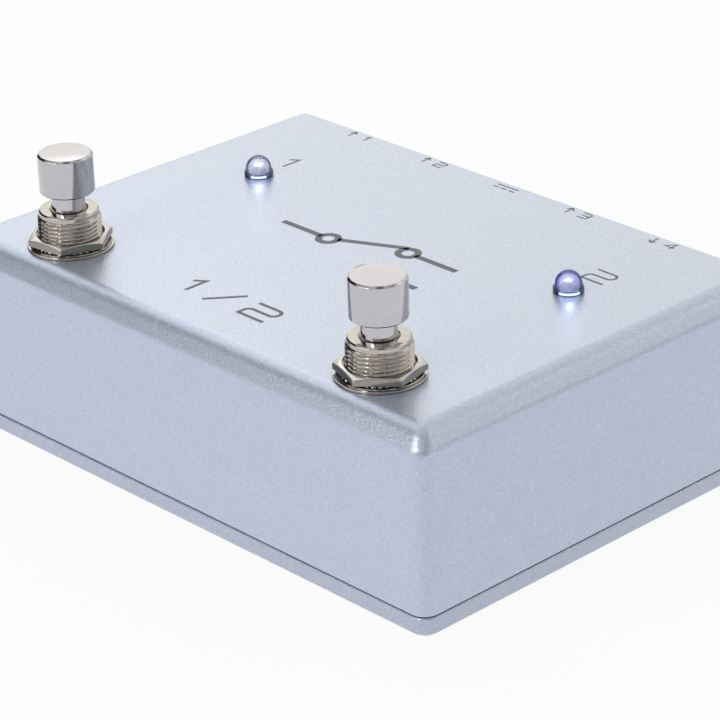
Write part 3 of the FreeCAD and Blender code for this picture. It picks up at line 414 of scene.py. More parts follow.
@dataclass(frozen=True)
class CastEpoxy(Finish):
    """Clear epoxy, cast round a lamp's leads: glassy, faintly blue while the lamp is lit.

    It looks darker where it turns away, as the eye then looks along its skin: a painted reflection of dark
    surroundings, darker in colour and mixed with a dark opaque shader there.
    """

    # The rim colour and the fields after it paint a dark reflection where the epoxy turns away.
    rim: str = "#4A4D74"
    painted_rim_start: float = 0.42
    painted_rim_end: float = 0.78
    painted_rim_share: float = 0.85
    painted_rim_roughness: float = 0.3
    roughness: float = 0.04
    ior: float = 1.54
    haze_mm: float = 0.7
    haze_depth_mm: float = 0.01

    def surface(self, tree: Tree, place: Socket) -> Socket:
        """Build the epoxy, which lets most light through to the panel.

        Args:
            tree: The material's node tree.
            place: Object coordinates, in metres.

        Returns:
            The shader's output.
        """
        waves = bump(tree, noise(tree, place, self.haze_mm), self.haze_depth_mm)
        # Painted reflection: where the surface turns away, the colour goes to the rim colour and a dark
        # opaque shader is mixed in.
        facing = add_node(tree, "ShaderNodeLayerWeight", {"Blend": 0.5})
        edge = fit(tree, facing.outputs["Facing"], (self.painted_rim_start, self.painted_rim_end))
        glass = add_node(tree, "ShaderNodeBsdfPrincipled",
                         {"Base Color": blend(tree, edge, self.colour, self.rim),
                          "Roughness": self.roughness, "IOR": self.ior, "Transmission Weight": 1.0,
                          "Normal": waves})
        dark = add_node(tree, "ShaderNodeBsdfPrincipled",
                        {"Base Color": to_linear(self.rim), "Roughness": self.painted_rim_roughness,
                         "IOR": self.ior})
        depth = combine(tree, Combining.PRODUCT, edge, self.painted_rim_share)
        lens = mix_shaders(tree, depth, glass.outputs[0], dark.outputs[0])
        clear = add_node(tree, "ShaderNodeBsdfTransparent", {"Color": to_linear(self.colour)})
        ray = add_node(tree, "ShaderNodeLightPath")
        return mix_shaders(tree, ray.outputs["Is Shadow Ray"], lens, clear.outputs[0])


@dataclass(frozen=True)
class HazyEpoxy(Finish):
    """The milky heart of a lamp: epoxy with diffuser powder, which catches the die's light, shown as a
    faint painted glow.
    """

    speck: str = "#FAFBFF"
    speck_mm: float = 0.8
    speck_clouds: Span = (0.4, 0.7)
    roughness: float = 0.45
    ior: float = 1.54
    clearness: float = 0.45
    # Painted light: the heart glows faintly, as if lit by the die.
    glow: str = "#D8E0FF"
    strength: float = 0.09

    def surface(self, tree: Tree, place: Socket) -> Socket:
        """Build the milky epoxy.

        Args:
            tree: The material's node tree.
            place: Object coordinates, in metres.

        Returns:
            The shader's output.
        """
        specks = noise(tree, place, self.speck_mm, detail=3.0)
        colour = blend(tree, fit(tree, specks, self.speck_clouds), self.colour, self.speck)
        milk = add_node(tree, "ShaderNodeBsdfPrincipled",
                        {"Base Color": colour, "Roughness": self.roughness, "IOR": self.ior,
                         "Transmission Weight": self.clearness, "Emission Color": to_linear(self.glow),
                         "Emission Strength": self.strength})
        clear = add_node(tree, "ShaderNodeBsdfTransparent", {"Color": to_linear(self.speck)})
        ray = add_node(tree, "ShaderNodeLightPath")
        return mix_shaders(tree, ray.outputs["Is Shadow Ray"], milk.outputs[0], clear.outputs[0])


@dataclass(frozen=True)
class LitDie(Finish):
    """What a lamp shows lit, its die and its flange's front: bluish white and frosted."""

    strength: float = 6.0
    roughness: float = 0.5
    grit_mm: float = 0.3

    def surface(self, tree: Tree, place: Socket) -> Socket:
        """Build the glowing face.

        Args:
            tree: The material's node tree.
            place: Object coordinates, in metres.

        Returns:
            The shader's output.
        """
        glow = blend(tree, noise(tree, place, self.grit_mm), self.colour, WHITE)
        shader = add_node(tree, "ShaderNodeBsdfPrincipled",
                          {"Base Color": glow, "Roughness": self.roughness, "Emission Color": glow,
                           "Emission Strength": self.strength})
        return shader.outputs[0]


@dataclass(frozen=True)
class BoardLaminate(Finish):
    """Woven glass laminate under solder mask: the weave shows as a fine, faint grid."""

    pale: str = "#1E7A4A"
    weave_mm: float = 0.9
    roughness: float = 0.3

    def surface(self, tree: Tree, place: Socket) -> Socket:
        """Build the laminate.

        Args:
            tree: The material's node tree.
            place: Object coordinates, in metres.

        Returns:
            The shader's output.
        """
        # At a scale of 1, the wave pattern turns through 20 radians per unit.
        scale = per_metre(self.weave_mm) * math.tau / 20
        warp = add_node(tree, "ShaderNodeTexWave", {"Vector": place, "Scale": scale}, bands_direction="X")
        weft = add_node(tree, "ShaderNodeTexWave", {"Vector": place, "Scale": scale}, bands_direction="Y")
        weave = combine(tree, Combining.PRODUCT, warp.outputs[1], weft.outputs[1])
        shader = add_node(tree, "ShaderNodeBsdfPrincipled",
                          {"Base Color": blend(tree, weave, self.colour, self.pale),
                           "Roughness": self.roughness})
        return shader.outputs[0]


@dataclass(frozen=True)
class PadInk(Finish):
    """Two-part ink, pad or screen printed on the coat: it follows the grain below it."""

    pale: str = "#7C8592"
    roughness: float = 0.5
    grain_mm: float = 0.35
    grain_depth_mm: float = 0.008
    thin_grains: Span = (0.45, 0.8)
    thin_share: float = 0.6

    def surface(self, tree: Tree, place: Socket) -> Socket:
        """Build the ink.

        Args:
            tree: The material's node tree.
            place: Object coordinates, in metres.

        Returns:
            The shader's output.
        """
        grain = noise(tree, place, self.grain_mm)
        thin = fit(tree, grain, self.thin_grains, (0.0, self.thin_share))
        shader = add_node(tree, "ShaderNodeBsdfPrincipled",
                          {"Base Color": blend(tree, thin, self.colour, self.pale),
                           "Roughness": self.roughness, "Normal": bump(tree, grain, self.grain_depth_mm)})
        return shader.outputs[0]


@dataclass(frozen=True)
class PaperSweep(Finish):
    """Uncoated paper under the box: matt, with the box's shadow, and white to the camera."""

    lit_share: float = 0.9

    def surface(self, tree: Tree, place: Socket) -> Socket:
        """Build the paper.

        Args:
            tree: The material's node tree.
            place: Object coordinates, in metres.

        Returns:
            The shader's output.
        """
        matt = add_node(tree, "ShaderNodeBsdfDiffuse", {"Color": to_linear(self.colour)})
        glow = add_node(tree, "ShaderNodeEmission", {"Color": to_linear(WHITE), "Strength": 1.0})
        ray = add_node(tree, "ShaderNodeLightPath")
        through = combine(tree, Combining.LARGER, ray.outputs["Is Camera Ray"],
                          ray.outputs["Is Transmission Ray"])
        seen = combine(tree, Combining.PRODUCT, through, self.lit_share)
        share = combine(tree, Combining.LARGER, seen, ray.outputs["Is Glossy Ray"])
        return mix_shaders(tree, share, matt.outputs[0], glow.outputs[0])


# Powder coat on the shell: pebbled and half metallic, so broad soft light shows in it.
COAT = PowderCoat("silver_blue_powder_coat", "#B7C0D5")
# The same coat on the base, painted a little darker as painted shade, as on the strip under the parting
# line, which faces the floor.
BASE_COAT_PAINTED_SHADE = PowderCoat("silver_blue_powder_coat_with_painted_shade_on_base", "#ADB5C9")
# Chrome plate, buffed on a wheel: nearly a mirror, with a faint cloudy sheen.
CHROME = PlatedMetal("polished_chrome_plate", "#C0BDC2", dull="#B2AEB4", roughness=0.12,
                     mark_mm=0.5, mark_depth_mm=0.0004, stain=0.35)
# Nickel plate on turned brass: a warm grey mirror, blurred by fine rings round it.
NICKEL = PlatedMetal("turned_nickel_plate", "#BBB6B1", dull="#857F79", roughness=0.12)
# Nickel plate on drawn stock, with painted light and shade: its flats are painted darker as painted shade,
# and the faces that look up are painted lighter as a painted highlight.
NICKEL_WITH_PAINTED_LIGHT = PlatedMetal("drawn_nickel_plate_with_painted_light", "#979390", dull="#66625E", roughness=0.15,
                         marks=Marks.DRAWN, face="#BFBCB9")
# Nickel plate on stamped sheet: grey and a little dull, with faint drawn streaks.
NICKEL_FLAT = PlatedMetal("stamped_nickel_plate", "#ABA7A3", dull="#7A756F", roughness=0.16,
                          marks=Marks.DRAWN)
# Zinc plate, tumbled and passivated: pale grey satin with soft stains.
ZINC = PlatedMetal("zinc_plated_steel", "#B9BBC0", dull="#8B8D94", roughness=0.32, marks=Marks.DRAWN,
                   mark_mm=0.5, mark_depth_mm=0.002, stain=0.5)
# Spring wire, drawn and oiled: dark grey with a soft shine along the wire.
SPRING_STEEL = PlatedMetal("drawn_spring_steel", "#8E9096", dull="#5F6166", roughness=0.3,
                           marks=Marks.DRAWN)
# Brass strip, rolled and dipped in tin: yellowish silver, satin and blotchy.
TINNED = PlatedMetal("tinned_brass_strip", "#D2CFC6", dull="#A9A493", roughness=0.28, marks=Marks.DRAWN,
                     stain=0.5)
# Aluminium, deep drawn to a can: pale satin with fine marks round it.
CAN = PlatedMetal("drawn_aluminium_can", "#C4C6CA", dull="#A4A7AC", roughness=0.35)
# Nylon, moulded in an eroded tool: black with a fine satin grain.
BLACK = MouldedPlastic("moulded_black_nylon", "#0E0E10", pale="#1B1B1E", roughness=0.42)
# Thermoset, pressed hot: deep blue, between satin and matt.
SWITCH_BLUE = MouldedPlastic("moulded_blue_thermoset", "#1C2B66", pale="#2A3B7C", roughness=0.5)
# Paper laminate, punched from sheet: brown and matt, with a coarse mottle.
PAPER_LAMINATE = MouldedPlastic("brown_paper_laminate", "#5C3820", pale="#7A5232", roughness=0.6,
                                grain_mm=0.8)
# PBT, moulded: ivory with a dry satin skin.
IVORY = MouldedPlastic("moulded_ivory_pbt", "#D8D3C2", pale="#E4E0D2", roughness=0.5)
# PVC, extruded over wire: blue and smooth, with a soft shine.
WIRE_BLUE = MouldedPlastic("extruded_blue_pvc", "#1F3F9A", pale="#2F52B4", roughness=0.35)
# Lacquer, dipped and cured: beige and glossy, with slow waves.
LACQUER = MouldedPlastic("dipped_beige_lacquer", "#C7A06A", pale="#D8B483", roughness=0.3, grain_mm=0.6)
# Epoxy, cast clear: glassy, with a dark bluish line of painted reflection where the dome turns away.
EPOXY = CastEpoxy("clear_cast_epoxy", "#F2F4FF", painted_rim_start=0.3, painted_rim_end=0.72)
# The same epoxy with more of its die's blue light painted in it: a bluer tint, and a wider, bluer line of
# painted reflection.
EPOXY_BLUE = CastEpoxy("clear_cast_epoxy_lit_blue", "#D9DEFF", rim="#353C9C", painted_rim_start=0.22, painted_rim_end=0.62)
# The epoxy of the flange, painted dark blue: a painted reflection of dark surroundings, as it is seen edge
# on.
EPOXY_FLANGE_PAINTED_DARK = CastEpoxy("clear_epoxy_flange_painted_dark", "#9AA4C8", rim="#101838", painted_rim_start=0.25, painted_rim_end=0.7)
# Epoxy with diffuser powder: a milky heart, with a faint painted glow of the die's light.
HAZE = HazyEpoxy("milky_epoxy_heart", "#D0D2EA")
# The die under its phosphor: bluish white and even, like frosted glass with light behind it.
DIE = LitDie("lit_lamp_die", "#C9D9FF", strength=2.0)
# Where the flange lets the die's light out at the front, painted as a glow: nearly white.
WINDOW = LitDie("lit_flange_front", "#DDF3FF", strength=1.4)
# Glass laminate, pressed and masked: green and smooth, with a faint weave.
BOARD = BoardLaminate("green_masked_glass_laminate", "#0F5A34")
# Printed ink: dark grey and matt, thinner on top of the coat's grains.
INK = PadInk("grey_printed_ink", "#545C69")
# Paper from a roll: white, with no shine.
PAPER = PaperSweep("white_paper_sweep", "#F0F1FA")


# ---- Forms

def round_corners(corners: Sequence[Corner], closed: bool = False, steps: int = 5) -> list[Flat]:
    """Round each corner of a flat line by its own radius.

    Args:
        corners: Across, up and radius of each corner; a radius of 0 keeps it sharp.
        closed: Whether the line joins its own start.
        steps: Points along each rounding, less one.

    Returns:
        The points of the line, in order.
    """
    places = [Vector((across, up)) for across, up, radius in corners]
    count = len(places)
    points: list[Flat] = []
    for index, (across, up, radius) in enumerate(corners):
        at_end = not closed and index in (0, count - 1)
        if radius <= 0 or at_end:
            points.append((across, up))
            continue
        here = places[index]
        back = places[index - 1] - here
        onward = places[(index + 1) % count] - here
        opening = back.angle(onward)
        reach = min(radius / math.tan(opening / 2), EDGE_SHARE * back.length, EDGE_SHARE * onward.length)
        bow = reach * math.tan(opening / 2)
        back.normalize()
        onward.normalize()
        centre = here + (back + onward).normalized() * (bow / math.sin(opening / 2))
        first = here + back * reach - centre
        last = here + onward * reach - centre
        sweep = first.angle_signed(last)
        for step in range(steps + 1):
            turned = first.copy()
            turned.rotate(Matrix.Rotation(-sweep * step / steps, 2))
            points.append(tuple(centre + turned))
    return points


def skin(rings: Sequence[Ring], closed: bool = False) -> Form:
    """Skin a row of rings with faces; a ring of one point closes to a fan.

    Args:
        rings: Points of each ring, in metres, all rings with as many points or with one.
        closed: Whether the last ring joins the first; otherwise wide end rings are capped.

    Returns:
        The solid, with its faces turned outwards.
    """
    form = bmesh.new()
    made = [[form.verts.new(point) for point in ring] for ring in rings]
    pairs = list(zip(made, made[1:]))
    if closed:
        pairs.append((made[-1], made[0]))
    for lower, upper in pairs:
        count = max(len(lower), len(upper))
        if count == 1:
            continue
        for index in range(count):
            following = (index + 1) % count
            corners = [lower[index % len(lower)], lower[following % len(lower)],
                       upper[following % len(upper)], upper[index % len(upper)]]
            form.faces.new(list(dict.fromkeys(corners)))
    if not closed:
        for ring in (made[0], made[-1]):
            if len(ring) > 2:
                form.faces.new(ring)
    bmesh.ops.recalc_face_normals(form, faces=form.faces)
    return form


def ring_at(radius: float | Callable[[float], float], height: float | Callable[[float], float],
            steps: int = LATHE_STEPS) -> Ring:
    """Make one level ring about the Z axis.

    Args:
        radius: Its radius, or the radius at a turn in degrees.
        height: Its height, or the height at a turn in degrees.
        steps: Its number of points.

    Returns:
        Its points in metres, or one point on the axis where the radius is 0.
    """
    if not callable(radius) and math.isclose(radius, 0, abs_tol=1e-6):
        return [Vector((0, 0, height * MM))]
    points = []
    for step in range(steps):
        turn = FULL_TURN * step / steps
        out = radius(turn) if callable(radius) else radius
        up = height(turn) if callable(height) else height
        angle = math.radians(turn)
        points.append(Vector((out * math.cos(angle), out * math.sin(angle), up)) * MM)
    return points


def lathe(corners: Sequence[Corner], steps: int = LATHE_STEPS, rounding: int = 5) -> Form:
    """Turn a closed half section about the Z axis.

    Args:
        corners: Radius, height and rounding of each corner of the section.
        steps: Points round the axis.
        rounding: Points along each rounding, less one.

    Returns:
        The turned mesh.
    """
    section = round_corners(corners, closed=True, steps=rounding)
    return skin([ring_at(out, up, steps) for out, up in section], closed=True)


def domed_rod(radius: float, low: float, high: float, rise: int, steps: int = LATHE_STEPS) -> Form:
    """Make an upright rod with a half ball on top.

    Args:
        radius: Its radius.
        low: Level of its foot.
        high: Level of its crown.
        rise: Degrees from one ring of the half ball to the next.
        steps: Points round the axis.

    Returns:
        The rod.
    """
    shoulder = high - radius
    rings = [ring_at(0, low, steps), ring_at(radius, low, steps), ring_at(radius, shoulder, steps)]
    for angle in (math.radians(turn) for turn in range(rise, 90, rise)):
        rings.append(ring_at(radius * math.cos(angle), shoulder + radius * math.sin(angle), steps))
    return skin([*rings, ring_at(0, high, steps)])


def rounded_outline(half_x: float, half_y: float, radius: float, height: float) -> Ring:
    """Make a level rectangle about the Z axis, with round corners.

    Args:
        half_x: How far it reaches along X.
        half_y: How far it reaches along Y.
        radius: Radius of its corners.
        height: Its level.

    Returns:
        Its points in metres.
    """
    corners = [(sign_x * half_x, sign_y * half_y, radius) for sign_x, sign_y in QUARTERS]
    return [Vector((x, y, height)) * MM for x, y in round_corners(corners, closed=True, steps=8)]


def posted_outline(half_x: float, half_y: float, post: float, height: float) -> Ring:
    """Make a level rectangle about the Z axis, with a square post left out of each corner.

    Args:
        half_x: How far it reaches along X.
        half_y: How far it reaches along Y.
        post: Width of a post.
        height: Its level.

    Returns:
        Its points in metres.
    """
    ring = []
    for sign_x, sign_y in QUARTERS:
        quarter = [(half_x, half_y - post), (half_x - post, half_y - post), (half_x - post, half_y)]
        if sign_x * sign_y < 0:
            quarter.reverse()
        ring += [Vector((sign_x * x, sign_y * y, height)) * MM for x, y in quarter]
    return ring


def block(low: Sequence[float], high: Sequence[float], edge: float = 0.0) -> Form:
    """Make a box between two corners.

    Args:
        low: Its lowest corner.
        high: Its highest corner.
        edge: Width of the bevel along its edges, or 0 for sharp edges.

    Returns:
        The box.
    """
    form = bmesh.new()
    bmesh.ops.create_cube(form, size=1.0)
    for vert in form.verts:
        vert.co = Vector([(low[i] + high[i]) / 2 + vert.co[i] * (high[i] - low[i]) for i in range(3)]) * MM
    if edge > 0:
        bmesh.ops.bevel(form, geom=form.edges[:], offset=edge * MM, segments=3, affect="EDGES", profile=0.6)
    return form


def rod(radius: float, low: float, high: float, place: Flat = (0.0, 0.0),
        steps: int = DRILL_STEPS) -> Form:
    """Make a plain upright rod, used to drill a hole.

    Args:
        radius: Its radius.
        low: Level of its foot.
        high: Level of its top.
        place: Where its axis stands.
        steps: Points round the axis.

    Returns:
        The rod.
    """
    form = skin([ring_at(radius, low, steps), ring_at(radius, high, steps)])
    bmesh.ops.translate(form, verts=form.verts, vec=Vector((*place, 0)) * MM)
    return form


def gather(forms: Iterable[Form]) -> Form:
    """Put several meshes together in one, as separate shells.

    Args:
        forms: The meshes, which are used up.

    Returns:
        The one mesh.
    """
    whole = bmesh.new()
    for form in forms:
        part = bpy.data.meshes.new("gathered")
        form.to_mesh(part)
        form.free()
        whole.from_mesh(part)
        bpy.data.meshes.remove(part)
    return whole


def move(form: Form, place: Sequence[float], lean: Matrix | None = None) -> Form:
    """Turn a mesh about the origin, then shift it.

    Args:
        form: The mesh, which is changed.
        place: How far it is shifted, in millimetres.
        lean: The turn.

    Returns:
        The same mesh.
    """
    matrix = Matrix.Translation(Vector(place) * MM)
    if lean is not None:
        matrix = matrix @ lean.to_4x4()
    bmesh.ops.transform(form, matrix=matrix, verts=form.verts)
    return form


def loose_object(name: str, form: Form) -> bpy.types.Object:
    """Put a mesh in the scene as an object of its own.

    Args:
        name: The object's name.
        form: The mesh, which is used up.

    Returns:
        The object.
    """
    mesh = bpy.data.meshes.new(name)
    form.to_mesh(mesh)
    form.free()
    made = bpy.data.objects.new(name, mesh)
    bpy.context.scene.collection.objects.link(made)
    return made


class SolidWork(Enum):
    """What a tool does to the solid that is worked on."""

    CUT = "DIFFERENCE"
    WELD = "UNION"


def work_solid(form: Form, tools: Sequence[Form], work: SolidWork) -> Form:
    """Cut solids out of a solid, or weld them to it, one after another.

    Args:
        form: The solid that is worked on.
        tools: The solids that cut it or are welded to it.
        work: Which of the two is done.

    Returns:
        The worked solid.
    """
    blank = loose_object("blank", form)
    loose_tools = [loose_object("tool", tool) for tool in tools]
    for tool in loose_tools:
        step = blank.modifiers.new("work", "BOOLEAN")
        step.operation = work.value
        step.solver = "EXACT"
        step.object = tool
    bpy.context.view_layer.update()
    shown = blank.evaluated_get(bpy.context.evaluated_depsgraph_get())
    worked = bmesh.new()
    worked.from_mesh(shown.to_mesh())
    shown.to_mesh_clear()
    for thing in (blank, *loose_tools):
        mesh = thing.data
        bpy.data.objects.remove(thing)
        bpy.data.meshes.remove(mesh)
    return worked


def add_piece(name: str, form: Form, finish: Finish, body: str,
              stands_for: Sequence[str] = (), smooth: float = SMOOTH_TURN,
              weighted: bool = False) -> bpy.types.Object:
    """Put a finished piece in the scene, on its body.

    Args:
        name: The piece's name.
        form: Its mesh, in the row's frame.
        finish: What it is made of.
        body: The body that it moves with.
        stands_for: The nodes that it replaces.
        smooth: Edges that turn less than this are shaded smooth.
        weighted: Whether large faces lead the shading, as on a cast box.

    Returns:
        The object.
    """
    made = loose_object(name, form)
    for face in made.data.polygons:
        face.use_smooth = True
    made.data.set_sharp_from_angle(angle=math.radians(smooth))
    if weighted:
        level = made.modifiers.new("even_shading", "WEIGHTED_NORMAL")
        level.keep_sharp = True
    made.data.materials.append(finish.material())
    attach(made, body)
    if stands_for:
        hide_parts(*stands_for)
    log.info("%s: %d faces, on %s", name, len(made.data.polygons), body)
    return made


def middle(node: str) -> Vector:
    """Give the middle of a node's box, in millimetres."""
    low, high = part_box(node)
    return (low + high) / 2 / MM


def screw_places() -> list[Flat]:
    """Work out where the four cover screws stand, from the box of their node.

    Returns:
        The place of each, across and along the box.
    """
    low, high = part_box("cover_screws")
    return [(x, y) for x in (low.x / MM + SCREW_HEAD_RADIUS, high.x / MM - SCREW_HEAD_RADIUS)
            for y in (low.y / MM + SCREW_HEAD_RADIUS, high.y / MM - SCREW_HEAD_RADIUS)]


@dataclass(frozen=True)
class Thread:
    """The groove of a screw thread.

    Attributes:
        pitch: From one turn to the next.
        depth: How deep it is cut.
        root: Over 1, the groove has a flat root, as wide as this exceeds it.
        flank: How fast the depth goes down towards the crest.
    """

    pitch: float
    depth: float
    root: float
    flank: float

    def depth_at(self, turn: float, height: float) -> float:
        """Give the groove's depth at a turn and a height: a V with a narrow flat crest."""
        phase = (height / self.pitch - turn / FULL_TURN) % 1.0
        return min(1.0, max(0.0, self.root - abs(2 * phase - 1) * self.flank)) * self.depth


@dataclass
class HexNut:
    """A hex nut about the Z axis, with a turned chamfer on its top and a corner on +X.

    Attributes:
        flats: Across its flats.
        bore: Its bore's radius.
        low: Level of its lower face.
        high: Level of its upper face.
        chamfer: How far the chamfer takes its corners down.
        soft: Radius of its upright corners.
        rim: Radius between its flats and its chamfer.
        face_inset: How far inside the flats the chamfer starts.
        foot_edge: Bevel round its lower face.
        bore_bevel: Bevel at the top of its bore.
        flat_steps: How many parts each flat is divided in.
        rim_steps: How many parts the rounding is divided in.
    """

    flats: float
    bore: float
    low: float
    high: float
    chamfer: float
    soft: float
    rim: float = 0.12
    face_inset: float = 0.2
    foot_edge: float = 0.12
    bore_bevel: float = 0.45
    flat_steps: int = 10
    rim_steps: int = 4

    def __post_init__(self) -> None:
        """Work out where the chamfer starts, its slope and the outline."""
        corner = self.flats / 2 / math.cos(math.radians(30))
        self.start = self.flats / 2 - self.face_inset
        self.slope = self.chamfer / (corner - self.start)
        self.outline = self.divided_outline(corner)

    def divided_outline(self, corner: float) -> list[Vector]:
        """Give the hexagon's points, with each flat divided so that the chamfer can curve.

        Args:
            corner: How far its corners are from the axis.

        Returns:
            Points in millimetres, round the axis.
        """
        hexagon = [(corner * math.cos(math.radians(turn)), corner * math.sin(math.radians(turn)), self.soft)
                   for turn in range(0, 360, 60)]
        rounded = [Vector(point) for point in round_corners(hexagon, closed=True, steps=4)]
        points = []
        for start, end in zip(rounded, rounded[1:] + rounded[:1]):
            is_flat = (end - start).length > self.soft
            parts = self.flat_steps if is_flat else 1
            points += [start.lerp(end, part / parts) for part in range(parts)]
        return points

    def level_ring(self, height: float, radius: float | None = None, grow: float = 0.0) -> Ring:
        """Make a level ring of the nut.

        Args:
            height: Its level.
            radius: Its radius where it is round, or None where it is hexagonal.
            grow: How far a hexagonal ring stands out of the flats.

        Returns:
            Its points in metres.
        """
        reaches = [point.length + grow if radius is None else radius for point in self.outline]
        return [Vector((*point.normalized() * reach, height)) * MM
                for point, reach in zip(self.outline, reaches)]

    def rim_ring(self, turn: float, tangent: float) -> Ring:
        """Make a ring of the rounding between the flats and the chamfer.

        Args:
            turn: How far round the rounding it lies, in radians from the flats.
            tangent: How far below the chamfer the rounding starts.

        Returns:
            Its points in metres.
        """
        grow = self.rim * (math.cos(turn) - 1)
        rise = self.rim * math.sin(turn) - tangent
        return [Vector((*point.normalized() * (point.length + grow),
                        self.high - max(0.0, point.length - self.start) * self.slope + rise)) * MM
                for point in self.outline]

    def form(self) -> Form:
        """Make the nut's mesh.

        Returns:
            The nut, about the Z axis.
        """
        bend = math.pi / 2 - math.atan(self.slope)
        tangent = self.rim * math.tan(bend / 2)
        return skin([
            self.level_ring(self.low + self.foot_edge, self.bore),
            self.level_ring(self.low, self.bore + self.foot_edge),
            self.level_ring(self.low, grow=-self.foot_edge),
            self.level_ring(self.low + self.foot_edge),
            *(self.rim_ring(bend * step / self.rim_steps, tangent) for step in range(self.rim_steps + 1)),
            self.level_ring(self.high, self.start),
            self.level_ring(self.high, self.bore + self.bore_bevel),
            self.level_ring(self.high - self.bore_bevel, self.bore),
        ], closed=True)


# ---- Sub-assemblies

class SubAssembly:
    """A part of the pedal, with pieces of its own and nodes that are kept as they are."""

    # Each kept node, its finish and the width of its softened edges.
    kept: ClassVar[tuple[tuple[str, Finish, float], ...]] = ()
    soft_edge_turn: ClassVar[float] = 40.0

    def named(self, name: str) -> str:
        """Give the full name of one of its nodes or pieces."""
        return name

    def build(self) -> None:
        """Build its own pieces, if it has any."""

    def dress(self) -> None:
        """Give the nodes that stay as they are their finishes, and soft edges where they have them."""
        for name, finish, bevel in self.kept:
            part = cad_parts[self.named(name)]
            part.data.materials.clear()
            part.data.materials.append(finish.material())
            for face in part.data.polygons:
                face.use_smooth = True
                face.material_index = 0
            part.data.set_sharp_from_angle(angle=math.radians(SMOOTH_TURN))
            if bevel > 0:
                soft = part.modifiers.new("soft_edges", "BEVEL")
                soft.width = bevel * MM
                soft.segments = 2
                soft.limit_method = "ANGLE"
                soft.angle_limit = math.radians(self.soft_edge_turn)
                soft.harden_normals = True
            log.info("%s: kept, in %s", self.named(name), finish.name)


@dataclass
class PairedAssembly(SubAssembly):
    """A sub-assembly that the pedal has twice: on side a and on side b."""

    side: str

    def named(self, name: str) -> str:
        """Give a name with the letter of its side."""
        return f"{name}_{self.side}"


# ---- Box

@dataclass
class DieCastBox(SubAssembly):
    """The cast upper shell: drafted walls, a soft bevel and a flat panel with its holes."""

    wall: float = 2.3
    draft: float = 0.5
    bevel_inset: float = 2.5
    bevel_drop: float = 3.7
    bevel_foot_soft: float = 3.0
    panel_soft: float = 4.0
    panel_inset: float = 9.0
    corner: float = 3.0
    panel_corner: float = 1.4
    foot_inset: float = 1.2
    mouth_soft: float = 0.3
    post: float = 7.2
    inner_slope: float = 1.2
    drill_depth: float = 5.0
    switch_hole: float = 12.3
    lamp_hole: float = 4.6
    socket_hole: float = 9.7
    power_hole: float = 8.8
    screw_hole: float = 3.5
    screw_depth: float = 11.0

    def __post_init__(self) -> None:
        """Read the shell's outer sizes from its node."""
        low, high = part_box("enclosure_body")
        self.half_x, self.half_y, self.top = high / MM
        self.foot = low.z / MM

    def loop(self, inset: float, height: float) -> Ring:
        """Make the shell's outline; its corners get tighter up the bevel.

        Args:
            inset: How far it is moved in from the widest outline.
            height: Its level.

        Returns:
            Its points in metres.
        """
        share = min(1.0, max(0.0, (inset - self.draft) / self.bevel_inset))
        radius = self.corner - share * (self.corner - self.panel_corner)
        return rounded_outline(self.half_x - inset, self.half_y - inset, radius, height)

    def inside(self) -> Form:
        """Make the room inside the shell, which goes round the four screw posts.

        Returns:
            The room as a solid.
        """
        ceiling = self.top - self.wall
        levels = ((self.foot - OVERCUT, 0.0), (ceiling - self.inner_slope, self.draft),
                  (ceiling, self.draft + self.inner_slope))
        return skin([posted_outline(self.half_x - self.wall - inset, self.half_y - self.wall - inset,
                                    self.post, height) for height, inset in levels])

    def drills(self) -> Form:
        """Make the rods that drill the panel, the rear wall and the screw posts.

        Returns:
            The rods in one mesh.
        """
        rods = []
        for side in "ab":
            for node, hole in (("switch_cap", self.switch_hole), ("led_lens", self.lamp_hole)):
                rods.append(rod(hole / 2, self.top - self.drill_depth, self.top + OVERCUT,
                                middle(f"{node}_{side}").xy))
        rear = [(middle(f"socket_body_{name}").x, middle("socket_nuts").z, self.socket_hole)
                for name in SOCKETS]
        rear.append((0.0, middle("power_socket_pin").z, self.power_hole))
        for x, z, hole in rear:
            drill = rod(hole / 2, self.half_y - self.drill_depth, self.half_y + OVERCUT)
            rods.append(move(drill, (x, 0, z), ALONG_Y))
        for place in screw_places():
            rods.append(rod(self.screw_hole / 2, self.foot - OVERCUT, self.foot + self.screw_depth, place))
        return gather(rods)

    def build(self) -> None:
        """Build the shell and put it on the box's body."""
        side = [
            (self.foot_inset, self.foot, 0.0), (0.0, self.foot, self.mouth_soft),
            (self.draft, self.top - self.bevel_drop, self.bevel_foot_soft),
            (self.draft + self.bevel_inset, self.top, self.panel_soft), (self.panel_inset, self.top, 0.0),
        ]
        blank = skin([self.loop(inset, height) for inset, height in round_corners(side, steps=7)])
        shell = work_solid(blank, [self.inside(), self.drills()], SolidWork.CUT)
        add_piece("box_shell", shell, COAT, BOX_BODY, ["enclosure_body"],
                  smooth=CAST_SMOOTH_TURN, weighted=True)


